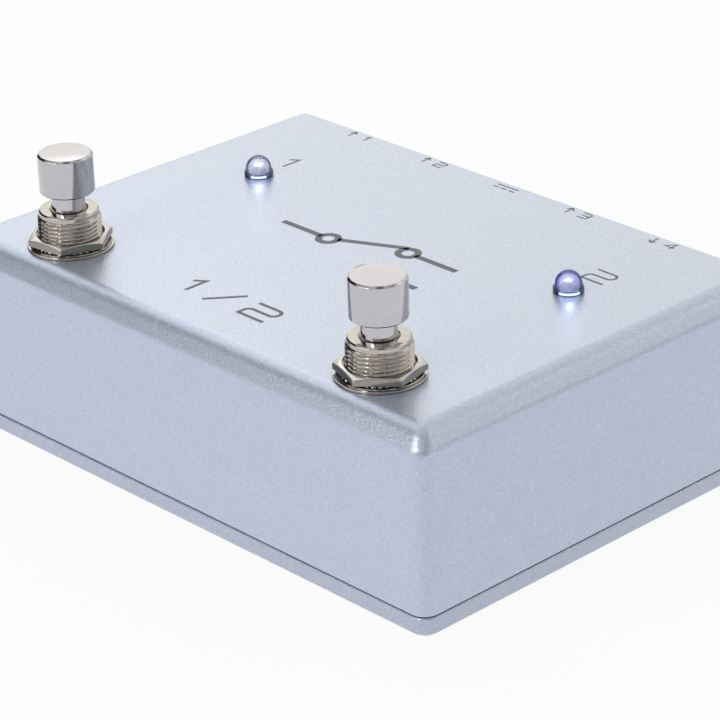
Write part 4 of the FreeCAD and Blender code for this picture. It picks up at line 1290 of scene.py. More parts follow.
@dataclass
class BaseCover(SubAssembly):
    """The cast base: a shallow tray with a locating lip and countersunk screw holes."""

    kept = (("cover_screws", ZINC, 0.1),)

    underside_inset: float = 4.0
    edge: float = 0.4
    edge_soft: float = 0.35
    rim_soft: float = 0.35
    rim_width: float = 1.6
    rebate: float = 0.9
    rebate_drop: float = 0.2
    floor: float = 2.2
    wall: float = 2.3
    post: float = 7.2
    lip_gap: float = 0.25
    lip_width: float = 1.3
    lip_height: float = 1.4
    lip_root: float = 0.5
    corner: float = 3.0
    least_corner: float = 0.5
    hole: float = 3.65
    hole_reach: float = 4.0
    sink: float = 7.1

    def __post_init__(self) -> None:
        """Read the cover's outer sizes from its node."""
        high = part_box("base_cover")[1]
        self.half_x = high.x / MM
        self.half_y = high.y / MM
        self.rim = high.z / MM - self.lip_height

    def loop(self, inset: float, height: float) -> Ring:
        """Make the cover's outline.

        Args:
            inset: How far it is moved in from the widest outline.
            height: Its level.

        Returns:
            Its points in metres.
        """
        radius = max(self.corner - inset, self.least_corner)
        return rounded_outline(self.half_x - inset, self.half_y - inset, radius, height)

    def prism(self, inset: float, low: float, high: float) -> Form:
        """Make a solid that goes round the screw posts.

        Args:
            inset: How far it stands in from the inner side of the box's wall.
            low: Level of its foot.
            high: Level of its top.

        Returns:
            The solid.
        """
        reach_x = self.half_x - self.wall - inset
        reach_y = self.half_y - self.wall - inset
        return skin([posted_outline(reach_x, reach_y, self.post, height) for height in (low, high)])

    def sinks(self) -> Form:
        """Make the tools that drill and countersink the four screw holes.

        Returns:
            The tools in one mesh.
        """
        radius = self.hole / 2
        tools = []
        for place in screw_places():
            tool = skin([ring_at(self.sink / 2 + OVERCUT, -OVERCUT, SMALL_STEPS),
                         ring_at(radius, self.sink / 2 - radius, SMALL_STEPS),
                         ring_at(radius, self.rim + self.hole_reach, SMALL_STEPS)])
            tools.append(move(tool, (*place, 0)))
        return gather(tools)

    def build(self) -> None:
        """Build the cover and put it on the box's body."""
        side = [
            (self.underside_inset, 0.0, 0.0), (self.edge, 0.0, self.edge_soft),
            (0.0, self.edge, self.edge_soft),
            (0.0, self.rim - self.rebate_drop, self.rim_soft),
            (self.rebate, self.rim - self.rebate_drop, 0.0), (self.rebate, self.rim, 0.0),
            (self.rim_width, self.rim, 0.0),
        ]
        blank = skin([self.loop(inset, height) for inset, height in round_corners(side, steps=4)])
        lip_top = self.rim + self.lip_height
        lip = self.prism(self.lip_gap, self.floor + self.lip_root, lip_top)
        tray = self.prism(self.lip_gap + self.lip_width, self.floor, lip_top + OVERCUT)
        cover = work_solid(work_solid(blank, [lip], SolidWork.WELD), [tray, self.sinks()], SolidWork.CUT)
        # The base's coat is painted darker than the shell's, as painted shade.
        add_piece("base_tray", cover, BASE_COAT_PAINTED_SHADE, BOX_BODY, ["base_cover"],
                  smooth=CAST_SMOOTH_TURN, weighted=True)


# ---- Foot switches

@dataclass
class FootSwitch(PairedAssembly):
    """One foot switch: cap, plunger, threaded bushing, nut, washers, spring and contacts."""

    kept = (
        ("switch_back_nut", NICKEL_FLAT, 0.0), ("switch_frame", ZINC, 0.15),
        ("switch_housing", SWITCH_BLUE, 0.3), ("switch_base", PAPER_LAMINATE, 0.1),
        ("switch_terminals", TINNED, 0.0), ("moving_contacts", TINNED, 0.08),
        ("contact_carrier", SWITCH_BLUE, 0.2), ("switch_wires", WIRE_BLUE, 0.0),
    )

    nut_turn: float
    soft: float = 0.1
    fine_soft: float = 0.08
    cap_soft: float = 0.12
    cap_chamfer: float = 0.38
    cap_foot_chamfer: float = 0.3
    cap_steps: int = 128
    spigot: float = 4.4
    spigot_length: float = 4.0
    spigot_fit: float = 0.02
    collar: float = 8.6
    collar_height: float = 1.5
    collar_gap: float = 0.05
    plunger_soft: float = 0.2
    neck: float = 6.4
    rod: float = 3.2
    bore: float = 6.5
    thread: float = 12.0
    stem: float = 10.0
    band: float = 11.3
    band_height: float = 1.0
    top_edge: float = 0.28
    mouth: float = 0.45
    mouth_soft: float = 0.05
    groove: Thread = Thread(pitch=0.794, depth=0.42, root=1.18, flank=1.36)
    thread_start: float = 0.3
    thread_run_out: float = 0.35
    rows_per_turn: int = 12
    washer: float = 16.4
    washer_hole: float = 12.2
    washer_soft: float = 0.12
    toothed: float = 15.4
    tooth_reach: float = 14.0
    tooth_slope: float = 0.1
    tooth_climb: float = 1.3
    tooth_drop: float = 8.0
    tooth_steps: int = 8
    teeth: int = 36
    plate: float = 0.28
    plate_foot_edge: float = 0.06
    flats: float = 14.3
    nut_corner_soft: float = 0.35
    nut_chamfer: float = 0.5
    nut_rim_soft: float = 0.22
    spring_wire: float = 0.5
    spring_turns: float = 6.0
    spring_end_turns: float = 0.8
    spring_end_pitch: float = 1.05
    spring_steps: int = 36
    wire_steps: int = 12

    def __post_init__(self) -> None:
        """Read the switch's place from its cap, and the body that its button is."""
        self.body = f"button_{self.side}"
        centre = middle(self.named("switch_cap"))
        self.place = (centre.x, centre.y, 0.0)

    def span(self, node: str) -> Span:
        """Give the lowest and highest level of one of the switch's nodes."""
        low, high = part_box(self.named(node))
        return low.z / MM, high.z / MM

    def width(self, node: str) -> float:
        """Give how wide one of the switch's nodes is."""
        low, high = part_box(self.named(node))
        return (high.x - low.x) / MM

    def add(self, name: str, form: Form, finish: Finish, body: str, slot: str) -> bpy.types.Object:
        """Put a piece of the switch at its place, in the place of its node."""
        return add_piece(self.named(f"{name}_detail"), move(form, self.place), finish, body,
                         [self.named(name)])

    def build(self) -> None:
        """Build every piece of the switch that shows."""
        self.build_cap()
        self.build_plunger()
        self.build_bushing()
        self.build_nut()
        self.build_washer()
        self.build_lock_washer()
        self.build_spring()

    def build_cap(self) -> None:
        """Build the cap: a turned and polished cylinder with a fine chamfer."""
        low, high = self.span("switch_cap")
        radius = self.width("switch_cap") / 2
        hole = self.spigot / 2 + self.spigot_fit
        corners = [
            (0.0, low + self.spigot_length, 0.0), (hole, low + self.spigot_length, 0.0),
            (hole, low, self.soft),
            (radius - self.cap_foot_chamfer, low, self.cap_soft),
            (radius, low + self.cap_foot_chamfer, self.cap_soft),
            (radius, high - self.cap_chamfer, self.cap_soft),
            (radius - self.cap_chamfer, high, self.cap_soft), (0.0, high, 0.0),
        ]
        self.add("switch_cap", lathe(corners, self.cap_steps, rounding=4), CHROME, self.body, "cap_chrome")

    def build_plunger(self) -> None:
        """Build the plunger with its stop collar and the spigot that holds the cap."""
        low, high = self.span("switch_plunger")
        collar_top = self.span("switch_bushing")[0] - self.collar_gap
        collar_foot = collar_top - self.collar_height
        cap_foot = self.span("switch_cap")[0]
        corners = [
            (0.0, low, 0.0), (self.rod / 2, low, self.plunger_soft), (self.rod / 2, collar_foot, 0.0),
            (self.collar / 2, collar_foot, self.plunger_soft),
            (self.collar / 2, collar_top, self.plunger_soft), (self.neck / 2, collar_top, 0.0),
            (self.neck / 2, cap_foot, self.fine_soft),
            (self.spigot / 2, cap_foot, 0.0), (self.spigot / 2, high, self.plunger_soft), (0.0, high, 0.0),
        ]
        self.add("switch_plunger", lathe(corners), CHROME, self.body, "nickel")

    def thread_radius(self, turn: float, height: float, first: float, last: float) -> float:
        """Give the bushing's radius where it is threaded.

        Args:
            turn: Degrees round the axis.
            height: The level.
            first: Where the thread starts.
            last: Where it ends.

        Returns:
            The radius: the groove deepens at the start, and the crest sinks at the end.
        """
        ease = min(1.0, (height - first) / self.thread_start)
        run_out = min(1.0, (last - height) / self.thread_run_out)
        crest = self.band / 2 + (self.thread - self.band) / 2 * run_out
        return min(self.thread / 2 - self.groove.depth_at(turn, height) * ease, crest)

    def build_bushing(self) -> None:
        """Build the bushing, its thread cut as a helix from the nut up to a plain band."""
        low, high = self.span("switch_bushing")
        frame_top = self.span("switch_frame")[1]
        first = self.span("switch_nut")[1] - self.groove.pitch
        last = high - self.band_height
        corners = [
            (self.bore / 2, high - self.mouth, self.mouth_soft), (self.bore / 2, low, self.soft),
            (self.stem / 2, low, self.soft), (self.stem / 2, frame_top, 0.0),
            (self.thread / 2, frame_top, self.soft), (self.thread / 2, first, 0.0),
            (self.band / 2, last, 0.0), (self.band / 2, high - self.top_edge, self.fine_soft),
            (self.band / 2 - self.top_edge, high, self.fine_soft),
            (self.bore / 2 + self.mouth, high, self.soft),
        ]
        section = round_corners(corners, closed=True, steps=3)
        below = 1 + next(index for index, (out, up) in enumerate(section) if math.isclose(up, first))
        rings = [ring_at(out, up) for out, up in section[:below]]
        rows = int((last - first) / self.groove.pitch * self.rows_per_turn)
        for row in range(1, rows):
            height = first + (last - first) * row / rows
            radius = partial(self.thread_radius, height=height, first=first, last=last)
            rings.append(ring_at(radius, height))
        rings += [ring_at(out, up) for out, up in section[below:]]
        self.add("switch_bushing", skin(rings, closed=True), NICKEL, BOX_BODY, "nickel")

    def build_nut(self) -> None:
        """Build the hex nut, turned as it came to rest when it was tightened."""
        nut = HexNut(self.flats, self.thread / 2 + THREAD_FIT, *self.span("switch_nut"),
                     chamfer=self.nut_chamfer, soft=self.nut_corner_soft, rim=self.nut_rim_soft)
        turn = Matrix.Rotation(math.radians(self.nut_turn), 3, "Z")
        self.add("switch_nut", move(nut.form(), (0, 0, 0), turn), NICKEL_WITH_PAINTED_LIGHT, BOX_BODY, "nickel")

    def build_washer(self) -> None:
        """Build the flat washer."""
        low, high = self.span("switch_washer")
        inner, outer = self.washer_hole / 2, self.washer / 2
        flat = lathe([(inner, low, self.mouth_soft), (outer, low, self.washer_soft),
                      (outer, high, self.washer_soft), (inner, high, self.fine_soft)])
        self.add("switch_washer", flat, NICKEL_WITH_PAINTED_LIGHT, BOX_BODY, "nickel")

    def build_lock_washer(self) -> None:
        """Build the lock washer, with serrations all round its upper side."""
        low, high = self.span("switch_lock_washer")
        plate_top = low + self.plate

        def serration(turn: float) -> float:
            """Give the top's level: it rises slowly to the nut and drops at each tooth.

            Args:
                turn: Degrees round the axis.

            Returns:
                The level.
            """
            share = turn / FULL_TURN * self.teeth % 1.0
            rise = min(1.0, share * self.tooth_climb, (1 - share) * self.tooth_drop)
            return plate_top + (high - low - self.plate) * rise

        half = self.toothed / 2
        places = (
            (self.washer_hole / 2, low), (half - self.plate_foot_edge, low),
            (half, low + self.plate_foot_edge), (half, plate_top - self.fine_soft),
            (half - self.fine_soft, plate_top),
            (self.tooth_reach / 2, plate_top), (self.tooth_reach / 2 - self.tooth_slope, serration),
            (self.washer_hole / 2, serration),
        )
        rings = [ring_at(radius, height, self.teeth * self.tooth_steps) for radius, height in places]
        self.add("switch_lock_washer", skin(rings, closed=True), NICKEL_WITH_PAINTED_LIGHT, BOX_BODY, "nickel")

    def spring_level(self, turns: float, climb: float) -> float:
        """Give how high the spring's wire is above its start: slow at both ends.

        Args:
            turns: How many turns it has made.
            climb: How high it gets in all.

        Returns:
            The height above the middle of the wire's start.
        """
        end_rise = self.spring_end_turns * self.spring_wire * self.spring_end_pitch
        if turns < self.spring_end_turns:
            return turns / self.spring_end_turns * end_rise
        if turns > self.spring_turns - self.spring_end_turns:
            return climb - (self.spring_turns - turns) / self.spring_end_turns * end_rise
        open_turns = self.spring_turns - 2 * self.spring_end_turns
        return end_rise + (turns - self.spring_end_turns) / open_turns * (climb - 2 * end_rise)

    def build_spring(self) -> None:
        """Wind the return spring with closed end turns."""
        low, high = self.span("return_spring")
        radius = self.spring_wire / 2
        reach = self.width("return_spring") / 2 - radius
        steps = int(self.spring_turns * self.spring_steps)
        round_wire = [math.radians(FULL_TURN * part / self.wire_steps) for part in range(self.wire_steps)]
        rings = []
        for step in range(steps + 1):
            turns = self.spring_turns * step / steps
            angle = math.radians(turns * FULL_TURN)
            away = Vector((math.cos(angle), math.sin(angle), 0))
            level = low + radius + self.spring_level(turns, high - low - self.spring_wire)
            rings.append([(away * (reach + math.cos(turn) * radius)
                           + Vector((0, 0, level + math.sin(turn) * radius))) * MM for turn in round_wire])
        spring = self.add("return_spring", skin(rings), SPRING_STEEL, BOX_BODY, "spring_steel")
        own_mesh(spring)


# ---- Lamps

@dataclass
class IndicatorLamp(PairedAssembly):
    """One clear 5 mm lamp standing on the panel, with its cup, post, lit die and light."""

    kept = (("led_leads", TINNED, 0.0), ("led_sleeve", BLACK, 0.0))

    clear: CastEpoxy
    lens: float = 5.0
    flange: float = 5.7
    flange_height: float = 1.05
    flange_gap: float = 0.01
    flange_foot_soft: float = 0.08
    flange_top_soft: float = 0.16
    flat_side: float = 2.62
    lead_rise: float = 0.15
    lead_radius: float = 0.4
    lead_drop: float = 0.9
    cup: float = 1.3
    cup_rise: float = 1.75
    cup_drop: float = 0.5
    cup_wall: float = 0.18
    cup_soft: float = 0.05
    cup_floor: float = 0.3
    cup_depth: float = 0.45
    cup_steps: int = 32
    post_reach: Span = (0.95, 1.4)
    post_half_width: float = 0.25
    post_drop: float = 0.1
    post_soft: float = 0.06
    die_foot: float = 0.28
    die_head: float = 0.45
    die_depth: float = 0.44
    die_shoulder: float = 0.1
    die_crown: float = 0.02
    die_steps: int = 24
    core: float = 2.9
    core_rise: float = 0.2
    core_drop: float = 1.45
    window_turn: float = -43.0
    window_half: float = 33.0
    window_out: Span = (2.56, 2.76)
    window_up: Span = (0.24, 0.66)
    window_steps: int = 16
    beam_colour: str = "#E8F1FF"
    beam_watts: float = 0.0008
    beam_drop: float = 21.0
    beam_cone: float = 56.0
    beam_soft: float = 1.6
    beam_out: float = 1.2
    beam_rise: float = 1.9

    def __post_init__(self) -> None:
        """Read the lamp's place and levels from its node."""
        low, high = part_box(self.named("led_lens"))
        centre = middle(self.named("led_lens"))
        self.place = (centre.x, centre.y, 0.0)
        self.base = low.z / MM
        self.top = high.z / MM

    def add(self, name: str, form: Form, finish: Finish, slot: str,
            nodes: Sequence[str] = ()) -> None:
        """Put a piece of the lamp at its place."""
        add_piece(self.named(name), move(form, self.place), finish, BOX_BODY, nodes)

    def build(self) -> None:
        """Build the lens, its flange, and what shows through them."""
        self.build_lens()
        self.build_cup()
        self.build_die()
        self.build_core()
        self.build_window()
        self.build_beam()

    def flattened(self, turn: float, radius: float) -> float:
        """Give the radius at a turn of a ring with a flat on its -X side."""
        across = math.cos(math.radians(turn))
        return min(radius, self.flat_side / -across) if across < 0 else radius

    def build_lens(self) -> None:
        """Build the domed lens and the flange that it stands on, painted darker as painted reflection."""
        lens = domed_rod(self.lens / 2, self.base, self.top, rise=6)
        self.add("lamp_lens", lens, self.clear, "lamp_lens", [self.named("led_lens")])
        inner = self.lens / 2 + self.flange_gap
        step = self.base + self.flange_height
        section = round_corners([
            (inner, self.base, 0.0), (self.flange / 2, self.base, self.flange_foot_soft),
            (self.flange / 2, step, self.flange_top_soft), (inner, step, 0.0),
        ], closed=True, steps=4)
        rim = skin([ring_at(partial(self.flattened, radius=out), up) for out, up in section], closed=True)
        self.add("lamp_flange", rim, EPOXY_FLANGE_PAINTED_DARK, "lamp_lens")

    def build_cup(self) -> None:
        """Build the reflector cup on its lead, and the post of the other lead."""
        top = self.base + self.cup_rise
        foot = self.base + self.lead_rise
        cup = lathe([
            (0.0, foot, 0.0), (self.lead_radius, foot, 0.0), (self.lead_radius, top - self.lead_drop, 0.0),
            (self.cup / 2, top - self.cup_drop, 0.0), (self.cup / 2, top, self.cup_soft),
            (self.cup / 2 - self.cup_wall, top, 0.0), (self.cup_floor, top - self.cup_depth, 0.0),
            (0.0, top - self.cup_depth, 0.0),
        ], steps=self.cup_steps)
        near, far = self.post_reach
        post = block((near, -self.post_half_width, foot), (far, self.post_half_width, top - self.post_drop),
                     self.post_soft)
        self.add("lamp_cup", gather([cup, post]), TINNED, "lead_wire")

    def build_die(self) -> None:
        """Build the lit die, with its phosphor, in the cup."""
        top = self.base + self.cup_rise
        die = lathe([
            (0.0, top - self.die_depth, 0.0), (self.die_foot, top - self.die_depth, 0.0),
            (self.die_head, top - self.die_shoulder, 0.0), (0.0, top + self.die_crown, 0.0),
        ], steps=self.die_steps)
        self.add("lamp_die", die, DIE, "lamp_lens")

    def build_core(self) -> None:
        """Build the milky core that stands in the lens."""
        core = domed_rod(self.core / 2, self.base + self.core_rise, self.top - self.core_drop, rise=10,
                         steps=SMALL_STEPS)
        self.add("lamp_core", core, HAZE, "lamp_lens")

    def build_window(self) -> None:
        """Build the lit front of the flange: a bar bent round the lens."""
        (near, far), (low, high) = self.window_out, self.window_up
        section = ((near, low), (far, low), (far, high), (near, high))
        rings = []
        for step in range(self.window_steps + 1):
            angle = math.radians(self.window_turn + self.window_half * (2 * step / self.window_steps - 1))
            away = Vector((math.cos(angle), math.sin(angle), 0))
            rings.append([(away * out + Vector((0, 0, self.base + up))) * MM for out, up in section])
        self.add("lamp_window", skin(rings), WINDOW, "lamp_lens")

    def build_beam(self) -> None:
        """Let the lens throw its light on the panel in front, as such a lens gathers it."""
        beam = bpy.data.lights.new(self.named("lamp_beam"), "SPOT")
        beam.energy = self.beam_watts
        beam.color = to_linear(self.beam_colour)[:3]
        beam.spot_size = math.radians(self.beam_cone)
        beam.spot_blend = 1.0
        beam.shadow_soft_size = self.beam_soft * MM
        lamp = bpy.data.objects.new(self.named("lamp_beam"), beam)
        turn = math.radians(self.window_turn)
        drop = math.radians(self.beam_drop)
        away = Vector((math.cos(turn), math.sin(turn), 0))
        aim = away * math.cos(drop) - Vector((0, 0, math.sin(drop)))
        start = Vector(self.place) + away * self.beam_out + Vector((0, 0, self.base + self.beam_rise))
        turned = aim.to_track_quat("-Z", "Y").to_matrix().to_4x4()
        lamp.matrix_world = Matrix.Translation(start * MM) @ turned
        bpy.context.scene.collection.objects.link(lamp)


# ---- Rear row

@dataclass
class SocketRow(SubAssembly):
    """The four rear sockets: threaded noses, washers and nuts along the rear wall."""

    kept = (*((f"tip_spring_{name}", TINNED, 0.0) for name in SOCKETS), ("sleeve_contacts", TINNED, 0.0))

    block_length: float = 25.0
    block_edge: float = 0.3
    nose: float = 9.4
    nose_edge: float = 0.4
    groove: Thread = Thread(pitch=0.75, depth=0.3, root=1.0, flank=1.25)
    rows_per_turn: int = 8
    bore: float = 6.5
    bore_length: float = 18.0
    bore_overlap: float = 0.5
    mouth_bevel: float = 0.35
    chamber: float = 7.4
    depth: float = 31.2
    washer: float = 14.0
    washer_fit: float = 0.15
    washer_softs: tuple[float, ...] = (0.05, 0.1, 0.2, 0.1)
    flats: float = 12.7
    nut_chamfer: float = 0.5
    nut_corner_soft: float = 0.25
    nut_turns: tuple[float, ...] = (4.0, 21.0, 38.0, 11.0)
    slot_width: float = 4.2
    slot_length: float = 12.5
    slot_inset: float = 1.5
    key_width: float = 3.3
    key_sheet: float = 0.8

    def __post_init__(self) -> None:
        """Read the row's levels from its nodes."""
        self.axis = middle("socket_nuts").z
        self.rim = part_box("socket_body_input")[1].y / MM

    def reach(self, node: str) -> Span:
        """Give the nearest and farthest point of a node along Y."""
        low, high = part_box(node)
        return low.y / MM, high.y / MM

    def place(self, form: Form, x: float) -> Form:
        """Lay a mesh that stands about the Z axis along a socket's axis."""
        return move(form, (x, 0, self.axis), ALONG_Y)

    def build(self) -> None:
        """Build the four sockets with their washers and nuts."""
        nuts = []
        washers = []
        low, high = self.reach("socket_washers")
        inner, outer = self.nose / 2 + self.washer_fit, self.washer / 2
        section = [(inner, low), (outer, low), (outer, high), (inner, high)]
        for name, turn in zip(SOCKETS, self.nut_turns):
            x = middle(f"socket_body_{name}").x
            self.build_body(name, x)
            nut = HexNut(self.flats, self.nose / 2 + THREAD_FIT, *self.reach("socket_nuts"),
                         chamfer=self.nut_chamfer, soft=self.nut_corner_soft)
            spin = Matrix.Rotation(math.radians(turn), 3, "Z")
            nuts.append(self.place(move(nut.form(), (0, 0, 0), spin), x))
            ring = lathe([(*point, soft) for point, soft in zip(section, self.washer_softs)])
            washers.append(self.place(ring, x))
        add_piece("socket_nut_set", gather(nuts), NICKEL_FLAT, BOX_BODY, ["socket_nuts"])
        add_piece("socket_washer_set", gather(washers), NICKEL_FLAT, BOX_BODY,
                  ["socket_washers"])

    def build_body(self, name: str, x: float) -> None:
        """Build one moulded socket: its block, and the threaded nose with its bore.

        Args:
            name: The socket's name.
            x: Where its axis stands.
        """
        low, high = (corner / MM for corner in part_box(f"socket_body_{name}"))
        seat = low.y + self.block_length
        shell = block((low.x, low.y, low.z), (high.x, seat, high.z), self.block_edge)
        mouth = self.rim - self.bore_length
        chamber = rod(self.chamber / 2, self.rim - self.depth, mouth, steps=SMALL_STEPS)
        throat = rod(self.bore / 2, mouth - self.bore_overlap, seat + OVERCUT, steps=SMALL_STEPS)
        slot_start = low.y + self.slot_inset
        slot = block((x - self.slot_width / 2, slot_start, self.axis),
                     (x + self.slot_width / 2, slot_start + self.slot_length, high.z + OVERCUT))
        key = middle("sleeve_contacts").y
        keyhole = block((x - self.key_width / 2, key - self.key_sheet / 2, low.z - OVERCUT),
                        (x + self.key_width / 2, key + self.key_sheet / 2, self.axis))
        tools = [self.place(chamber, x), self.place(throat, x), slot, keyhole]
        body = work_solid(shell, tools, SolidWork.CUT)
        add_piece(f"socket_detail_{name}", gather([body, self.place(self.threaded_nose(seat), x)]), BLACK,
                  BOX_BODY, [f"socket_body_{name}"])

    def nose_radius(self, turn: float, height: float) -> float:
        """Give the nose's radius where it is threaded."""
        return self.nose / 2 - self.groove.depth_at(turn, height)

    def threaded_nose(self, seat: float) -> Form:
        """Build the nose about the Z axis, its thread a helix from the seat to the rim.

        Args:
            seat: Level of the block's front.

        Returns:
            The nose.
        """
        last = self.rim - self.nose_edge
        mouth = self.bore / 2
        rows = int((last - seat) / self.groove.pitch * self.rows_per_turn)
        rings = [ring_at(self.nose / 2, seat, DRILL_STEPS)]
        for row in range(1, rows):
            height = seat + (last - seat) * row / rows
            rings.append(ring_at(partial(self.nose_radius, height=height), height, DRILL_STEPS))
        tip = ((self.nose / 2, last), (self.nose / 2 - self.nose_edge, self.rim),
               (mouth + self.mouth_bevel, self.rim), (mouth, self.rim - self.mouth_bevel), (mouth, seat))
        rings += [ring_at(out, up, DRILL_STEPS) for out, up in tip]
        return skin(rings, closed=True)


class PowerSocket(SubAssembly):
    """The power socket in the middle of the rear wall, kept as it was modelled."""

    kept = (("power_socket_body", BLACK, 0.3), ("power_socket_pin", TINNED, 0.2),
            ("power_socket_tabs", TINNED, 0.0))


class CircuitBoard(SubAssembly):
    """The circuit board with all that is soldered to it, kept as it was modelled."""

    kept = (("circuit_board", BOARD, 0.0), ("relays", IVORY, 0.3), ("control_chip", BLACK, 0.2),
            ("capacitors", CAN, 0.4), ("resistors", LACQUER, 0.0))


# ---- Print on the panel

class Numeral(Enum):
    """Strokes of each plain numeral, on a square of 1 by 1, with a rounding per corner."""

    ONE = (((0.18, 0.72, 0.0), (0.55, 1.0, 0.0), (0.55, 0.0, 0.0)),)
    TWO = (((0.0, 1.0, 0.0), (1.0, 1.0, 0.24), (1.0, 0.5, 0.24), (0.0, 0.5, 0.24), (0.0, 0.0, 0.0),
            (1.0, 0.0, 0.0)),)
    THREE = (((0.0, 1.0, 0.0), (1.0, 1.0, 0.24), (1.0, 0.0, 0.24), (0.0, 0.0, 0.0)),
             ((0.2, 0.5, 0.0), (0.97, 0.5, 0.0)))
    FOUR = (((0.74, 0.0, 0.0), (0.74, 1.0, 0.0), (0.0, 0.3, 0.0), (1.0, 0.3, 0.0)),)


class Way(Enum):
    """Which way an arrow points on the panel."""

    TO_REAR = 1
    TO_FRONT = -1


@dataclass
class PanelPrint(SubAssembly):
    """Generic print on the panel: plain numerals, arrows and a changeover sign."""

    thick: float = 0.02
    smooth: float = 20.0
    mitre_limit: float = 0.5
    lamp_line: float = 0.5
    lamp_widths: tuple[float, float] = (4.6, 5.2)
    lamp_height: float = 4.6
    lamp_gap: float = 6.2
    row: float = 40.9
    row_line: float = 0.336
    row_marks: tuple[tuple[Numeral, float, Way], ...] = (
        (Numeral.ONE, -41.4, Way.TO_REAR), (Numeral.TWO, -20.3, Way.TO_REAR),
        (Numeral.THREE, 18.3, Way.TO_REAR), (Numeral.FOUR, 39.8, Way.TO_FRONT),
    )
    mark_size: float = 2.2
    mark_gap: float = 0.6
    arrow_gap: float = 2.4
    arrow_length: float = 2.4
    arrow_head: float = 0.36
    current_span: Span = (-3.4, 2.0)
    current_rise: float = 0.6
    dash: float = 1.4
    dash_step: float = 2.0
    sign_place: Flat = (0.0, 0.4)
    sign_line: float = 1.35
    sign_reach: float = 20.5
    contact: Flat = (8.0, 5.2)
    contact_radius: float = 1.9
    contact_step: int = 15
    lever_root: Flat = (0.9, 0.4)
    lever_tip: Flat = (6.6, 6.9)
    foot: float = -33.5
    foot_line: float = 0.75
    foot_height: float = 5.2
    foot_one: Span = (-13.0, 5.6)
    foot_slash: Span = (-4.6, 0.6)
    foot_two: Span = (4.4, 6.6)
    foot_overshoot: float = 0.6

    def __post_init__(self) -> None:
        """Start with an empty sheet, on top of the panel."""
        self.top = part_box("enclosure_body")[1].z / MM
        self.strokes: list[Form] = []

    def stroke(self, points: Sequence[Flat], width: float, closed: bool = False) -> None:
        """Lay one printed line.

        Args:
            points: Its middle line, across and along the panel.
            width: Its width.
            closed: Whether it joins its own start.
        """
        places = [Vector(point) for point in points]
        count = len(places)
        lift = Vector((0, 0, self.thick * MM))
        rings = []
        for index, here in enumerate(places):
            before = places[index - 1] if closed or index > 0 else None
            after = places[(index + 1) % count] if closed or index < count - 1 else None
            into = (here - before).normalized() if before is not None else None
            out = (after - here).normalized() if after is not None else None
            along = ((into or out) + (out or into)).normalized()
            lean = abs(along.dot(out or into))
            reach = Vector((-along.y, along.x)) * (width / 2 / max(lean, self.mitre_limit))
            left, right = (Vector((*place, self.top)) * MM for place in (here + reach, here - reach))
            rings.append([left, right, right + lift, left + lift])
        self.strokes.append(skin(rings, closed=closed))

    def numeral(self, sign: Numeral, place: Flat, width: float, height: float, line: float) -> None:
        """Print a numeral.

        Args:
            sign: Which one.
            place: Its lower left corner.
            width: Its width.
            height: Its height.
            line: Width of its line.
        """
        x, y = place
        for lines in sign.value:
            corners = [(x + across * width, y + up * height, soft * height) for across, up, soft in lines]
            self.stroke(round_corners(corners), line)

    def arrow(self, x: float, way: Way) -> None:
        """Print one of the row's arrows.

        Args:
            x: Where it stands along the row.
            way: Where it points.
        """
        half = self.arrow_length / 2
        head = self.arrow_length * self.arrow_head
        tip = self.row + half * way.value
        self.stroke([(x, self.row - half), (x, self.row + half)], self.row_line)
        self.stroke([(x - head, tip - head * way.value), (x, tip), (x + head, tip - head * way.value)],
                    self.row_line)

    def print_lamp_numerals(self) -> None:
        """Number the lamps behind them."""
        for side, sign, width in zip("ab", (Numeral.ONE, Numeral.TWO), self.lamp_widths):
            lamp = middle(f"led_lens_{side}")
            self.numeral(sign, (lamp.x - width / 2, lamp.y + self.lamp_gap), width, self.lamp_height,
                         self.lamp_line)

    def print_row(self) -> None:
        """Mark the sockets: numbered arrows, and the direct-current sign at the power socket."""
        size = self.mark_size
        for sign, x, way in self.row_marks:
            self.numeral(sign, (x + self.mark_gap, self.row - size / 2), size, size, self.row_line)
            self.arrow(x - self.arrow_gap, way)
        left, right = self.current_span
        above, below = self.row + self.current_rise, self.row - self.current_rise
        self.stroke([(left, above), (right, above)], self.row_line)
        for start in (left, left + self.dash_step, left + 2 * self.dash_step):
            self.stroke([(start, below), (start + self.dash, below)], self.row_line)

    def print_changeover(self) -> None:
        """Print a plain changeover switch sign: one way in, two ways out, and a lever."""
        x, y = self.sign_place
        out, up = self.contact
        radius = self.contact_radius
        for across, along in ((-out, 0.0), (out, up), (out, -up)):
            circle = [(x + across + radius * math.cos(math.radians(turn)),
                       y + along + radius * math.sin(math.radians(turn)))
                      for turn in range(0, 360, self.contact_step)]
            self.stroke(circle, self.sign_line, closed=True)
        self.stroke([(x - self.sign_reach, y), (x - out - radius, y)], self.sign_line)
        for level in (y + up, y - up):
            self.stroke([(x + out + radius, level), (x + self.sign_reach, level)], self.sign_line)
        root = (x - out + radius * self.lever_root[0], y + radius * self.lever_root[1])
        self.stroke([root, (x + self.lever_tip[0], y + self.lever_tip[1])], self.sign_line)

    def print_foot(self) -> None:
        """Print 1 / 2 along the front of the panel."""
        (one, one_width), (two, two_width), (near, far) = self.foot_one, self.foot_two, self.foot_slash
        head = self.foot + self.foot_height
        self.numeral(Numeral.ONE, (one, self.foot), one_width, self.foot_height, self.foot_line)
        self.stroke([(near, self.foot - self.foot_overshoot), (far, head + self.foot_overshoot)],
                    self.foot_line)
        self.numeral(Numeral.TWO, (two, self.foot), two_width, self.foot_height, self.foot_line)

    def build(self) -> None:
        """Lay all the print and put it on the box's body."""
        self.print_lamp_numerals()
        self.print_row()
        self.print_changeover()
        self.print_foot()
        add_piece("panel_print", gather(self.strokes), INK, BOX_BODY, smooth=self.smooth)


# ---- Studio

